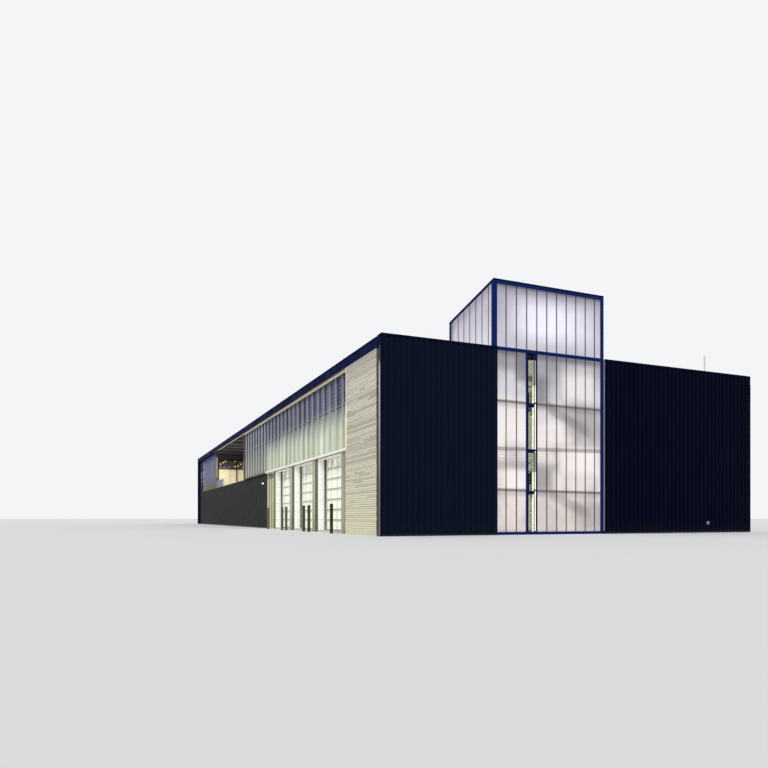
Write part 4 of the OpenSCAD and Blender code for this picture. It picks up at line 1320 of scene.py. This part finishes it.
painted_sheet("window_frame_paint", (0.008, 0.008, 0.009), (0.018, 0.017, 0.018), 0.5, 0.06)
dress("terrace_window_frame", "corner_window_frame")

new_material("lit_terrace_glass", 0.06, 0.06)
height = place_along("Z")
# Painted light: a warm-lit wall, a frieze, a dark ceiling and lamps, painted on the glowing glass.
wall_tone = blend(noise(1.3, 2, (1, 1, 0.5)), (0.80, 0.68, 0.39), (0.92, 0.85, 0.54))
wall_tone = shade(wall_tone, ramp(noise(3.2, 1, (1, 1, 0.02)), 0.56, 0.62), 0.4, (0.40, 0.30, 0.15))
ceiling_tone = blend(noise(2, 2), (0.050, 0.036, 0.018), (0.090, 0.066, 0.036))
frieze_tone = blend(ramp(noise(7, 2, (1, 1, 0.4)), 0.42, 0.56), (0.050, 0.034, 0.030), (0.16, 0.125, 0.21))
frieze_tone = shade(frieze_tone, ramp(noise(9, 1, (1, 1, 0.3)), 0.62, 0.66), 0.8, (0.55, 0.42, 0.16))
room_tone = blend(ramp(height, 3.60, 3.68), wall_tone, frieze_tone)
room_tone = blend(ramp(height, 3.86, 3.92), room_tone, ceiling_tone)
room_tone = blend(falling(height, 2.45, 2.62), room_tone, (0.05, 0.045, 0.05))
past_end = ramp(place_along("Y"), terrace_far_y - 0.05, terrace_far_y - 0.04)
across = place_along("X")
row_of_lamps = times(joint_lines("Y", terrace_near_y + 0.3, 1.24, 0.10), minus(1.0, past_end))
lamps = times(row_of_lamps, band_across(height, 4.04, 0.018, 0.02))
for lamp_x, lamp_z in (
    (-5.93, 4.00),
    (-5.75, 4.10),
    (-5.61, 4.19),
    (-4.98, 3.86),
    (-4.80, 3.93),
    (-4.61, 4.03),
):
    spot = patch(across, height, (lamp_x, lamp_z), (0.032, 0.030), 0.018)
    lamps = calc("MAXIMUM", lamps, times(spot, past_end))
room_tone = blend(lamps, room_tone, (1.0, 0.86, 0.52))
# Painted highlight: a bright warm edge where the jamb catches the room's light.
painted_jamb_highlight = times(patch(across, height, (-4.425, 4.04), (0.02, 0.25), 0.01), past_end)
room_tone = shade(room_tone, painted_jamb_highlight, 0.8, (0.80, 0.66, 0.36))
exit_light = times(patch(across, height, (-4.96, 4.21), (0.075, 0.04), 0.012), past_end)
room_tone = blend(exit_light, room_tone, (0.14, 0.66, 0.38))
colour_with(room_tone, 0.5)
emboss(noise(1.5, 2), 0.001)
dress("terrace_window_glass")

guard_low, guard_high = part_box("terrace_guard")
new_material("guard_glass", 0.04, 0.01)
film = ramp(place_along("Y"), 6.6, 8.4, 0.04, 0.86)
colour_with(blend(noise(2, 2), (0.13, 0.10, 0.24), (0.24, 0.20, 0.32)))
fill_in(shader, {"Alpha": film})
emboss(noise(2, 1), 0.0005)
dress("terrace_guard")

new_material("lit_jamb_lining", 0.5)
# Painted light: the jamb lining is painted with the room's warm light and glows.
colour_with(blend(noise(5, 4, (1, 1, 0.3)), (0.30, 0.23, 0.09), (0.42, 0.33, 0.15)), 0.2)
emboss(noise(90, 2), 0.0003)
panels_low, panels_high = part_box("far_panels_left")
jamb_t = 0.003
jamb_from_face = 0.024
jamb_low_z = 3.11
jamb_high_z = 4.42
add_block(
    (panels_low.x + jamb_from_face, panels_low.y - jamb_t, jamb_low_z),
    (panels_high.x, panels_low.y, jamb_high_z),
)
add_piece("terrace_jamb_lining", "terrace_metal")

clamp_pitch = 1.26
clamp_w = 0.05
clamp_out = 0.012
clamp_up = 0.09
clamp_from_end = 0.08
clamp_run = guard_high.y - guard_low.y - 2 * clamp_from_end - clamp_w
count = int((guard_high.y - guard_low.y) / clamp_pitch)
for index in range(count + 1):
    y = guard_low.y + clamp_from_end + index * clamp_run / count
    for low_x, high_x in ((guard_low.x - clamp_out, guard_low.x), (guard_high.x, guard_high.x + clamp_out)):
        add_block((low_x, y, guard_low.z), (high_x, y + clamp_w, guard_low.z + clamp_up), 0.003)
add_block(
    (guard_low.x - 0.006, guard_low.y, guard_high.z),
    (guard_high.x + 0.006, guard_high.y, guard_high.z + 0.010), 0.003,
)
add_piece("guard_clamps_and_cap", "fitting_metal", bright_metal)


# Corner window: three rows of tinted glass in a dark frame at the rear end of the left side. The
# glass carries a painted reflection of the evening sky, mauve at mid height.
new_material("tinted_corner_glass", 0.06, 0.08)
height = place_along("Z")
tint = blend(ramp(height, 2.4, 4.7), (0.12, 0.10, 0.22), (0.175, 0.155, 0.275))
tint = shade(tint, band_across(height, 3.55, 0.35, 0.10), 0.9, (0.41, 0.33, 0.46))
colour_with(shade(tint, noise(2, 3), 0.3, (0.08, 0.08, 0.2)))
emboss(noise(1.5, 2), 0.001)
dress("corner_window_glass")


# Guard posts: steel pipes filled with concrete and painted dark olive, each with a foot ring and a
# domed slip-on cap. They keep vehicles off the jambs.
post_low, post_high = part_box("guard_posts")
post_r = 0.0499
new_material("olive_post_paint", 0.42, 0.2)
post_paint_and_light = blend(noise(9, 4, (1, 1, 0.4)), (0.016, 0.015, 0.003), (0.036, 0.035, 0.009))
# Painted light: posts further back are painted lighter than the near ones, which stand in shade.
post_paint_and_light = blend(ramp(place_along("Y"), -14.5, -7.5), post_paint_and_light, (0.115, 0.110, 0.065))
knocked = times(ramp(noise(38, 5), 0.66, 0.70), band_across(place_along("Z"), 0.35, 0.15, 0.2))
colour_with(blend(knocked, post_paint_and_light, (0.20, 0.19, 0.17)))
roughen(noise(14), 0.32, 0.52)
emboss(noise(120, 3), 0.0004)
dress("guard_posts")

foot_ring_h = 0.022
cap_low_z = post_high.z - 0.090
pipe_r = post_r - 0.0018
post_x = post_low.x + 0.05
cap_z = post_high.z
outline = (
    (0, 0),
    (post_r, 0),
    (post_r, foot_ring_h),
    (pipe_r, foot_ring_h + 0.004),
    (pipe_r, cap_low_z),
    (post_r, cap_low_z + 0.002),
    (post_r, cap_z - 0.032),
    (post_r - 0.003, cap_z - 0.017),
    (post_r - 0.012, cap_z - 0.006),
    (post_r - 0.028, cap_z - 0.001),
    (0, cap_z),
)
for bay_y in bay_starts:
    for y in (bay_y, bay_y + bay_w):
        points = [mesh.verts.new((post_x + r, y, z)) for r, z in outline]
        edges = [mesh.edges.new(pair) for pair in zip(points, points[1:])]
        bmesh.ops.spin(
            mesh, geom=points + edges, cent=(post_x, y, 0), axis=(0, 0, 1), steps=36, angle=2 * math.pi,
            use_merge=True,
        )
bmesh.ops.remove_doubles(mesh, verts=mesh.verts[:], dist=0.00005)
mirror_to_right()
pipes = add_piece("capped_guard_posts", "post_paint")
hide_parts("guard_posts")


# Wall light: a cast box with a sloping top that throws its light along the wall through a frosted
# lens at each end.
light_low, light_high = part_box("wall_light")
new_material("light_housing", 0.45, metallic=0.4)
colour_with(blend(noise(40, 3), (0.030, 0.030, 0.032), (0.055, 0.055, 0.058)))
emboss(noise(260, 2), 0.0003)
dress("wall_light")
new_material("frosted_lens", 0.3)
colour_with(blend(noise(60, 2), (0.92, 0.92, 0.88), (1.0, 1.0, 0.98)), 1.6)
emboss(joint_lines("Y", light_low.y, 0.006, 0.004), 0.0006)
lens_out = 0.004
lens_from_front = 0.045
lens_from_back = 0.006
lens_low_z = light_low.z + 0.030
lens_high_z = light_low.z + 0.082
add_block(
    (light_low.x + lens_from_front, light_low.y - lens_out, lens_low_z),
    (light_high.x - lens_from_back, light_high.y + lens_out, lens_high_z), 0.004,
)
add_piece("wall_light_lens", "fitting_metal")


# Wall box: a small painted steel cabinet on the front. Its lid lies proud of the case and is shut
# by a round lock.
box_low, box_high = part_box("wall_box")
painted_sheet("wall_box_paint", (0.20, 0.20, 0.21), (0.30, 0.30, 0.31), 0.42, 0.3)
dress("wall_box")
lock_t = 0.002
lock_r = 0.008
lid_t = 0.003
lid_edge = 0.005
lid_y = box_low.y + lock_t
add_block((box_low.x, lid_y + lid_t, box_low.z), box_high, 0.002)
add_block(
    (box_low.x + lid_edge, lid_y, box_low.z + lid_edge),
    (box_high.x - lid_edge, lid_y + lid_t, box_high.z - lid_edge),
)
lock_seat = Matrix.Translation((box_high.x - 0.020, box_low.y + lock_t, (box_low.z + box_high.z) / 2))
bmesh.ops.create_cone(
    mesh, cap_ends=True, cap_tris=False, segments=24, radius1=lock_r, radius2=lock_r, depth=2 * lock_t,
    matrix=lock_seat @ Matrix.Rotation(math.radians(90), 4, "X"),
)
cabinet = add_piece("wall_box_with_lid", "fitting_metal")
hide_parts("wall_box")


# Roof mast: a slim aluminium tube welded to a base plate, which six bolts hold to the roof. A
# domed cap closes its top.
new_material("mast_metal", 0.35, metallic=1.0)
colour_with(blend(noise(30, 3, (1, 1, 0.2)), (0.45, 0.45, 0.45), (0.62, 0.62, 0.61)))
roughen(noise(50), 0.28, 0.45)
emboss(noise(300, 2), 0.0002)
dress("roof_mast")
mast_low, mast_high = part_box("roof_mast")
mast_middle = (mast_low + mast_high) / 2
bolt_count = 6
bolt_ring_r = 0.048
plate_z = mast_low.z + 0.022
cap_r = 0.022
for index in range(bolt_count):
    turn = index * 2 * math.pi / bolt_count
    x = mast_middle.x + bolt_ring_r * math.cos(turn)
    y = mast_middle.y + bolt_ring_r * math.sin(turn)
    add_screw((x, y, plate_z), (0, 0, 1))
bmesh.ops.create_uvsphere(
    mesh, u_segments=24, v_segments=12, radius=cap_r,
    matrix=Matrix.Translation((mast_middle.x, mast_middle.y, mast_high.z)),
)
add_piece("mast_cap_and_bolts", "fitting_metal")
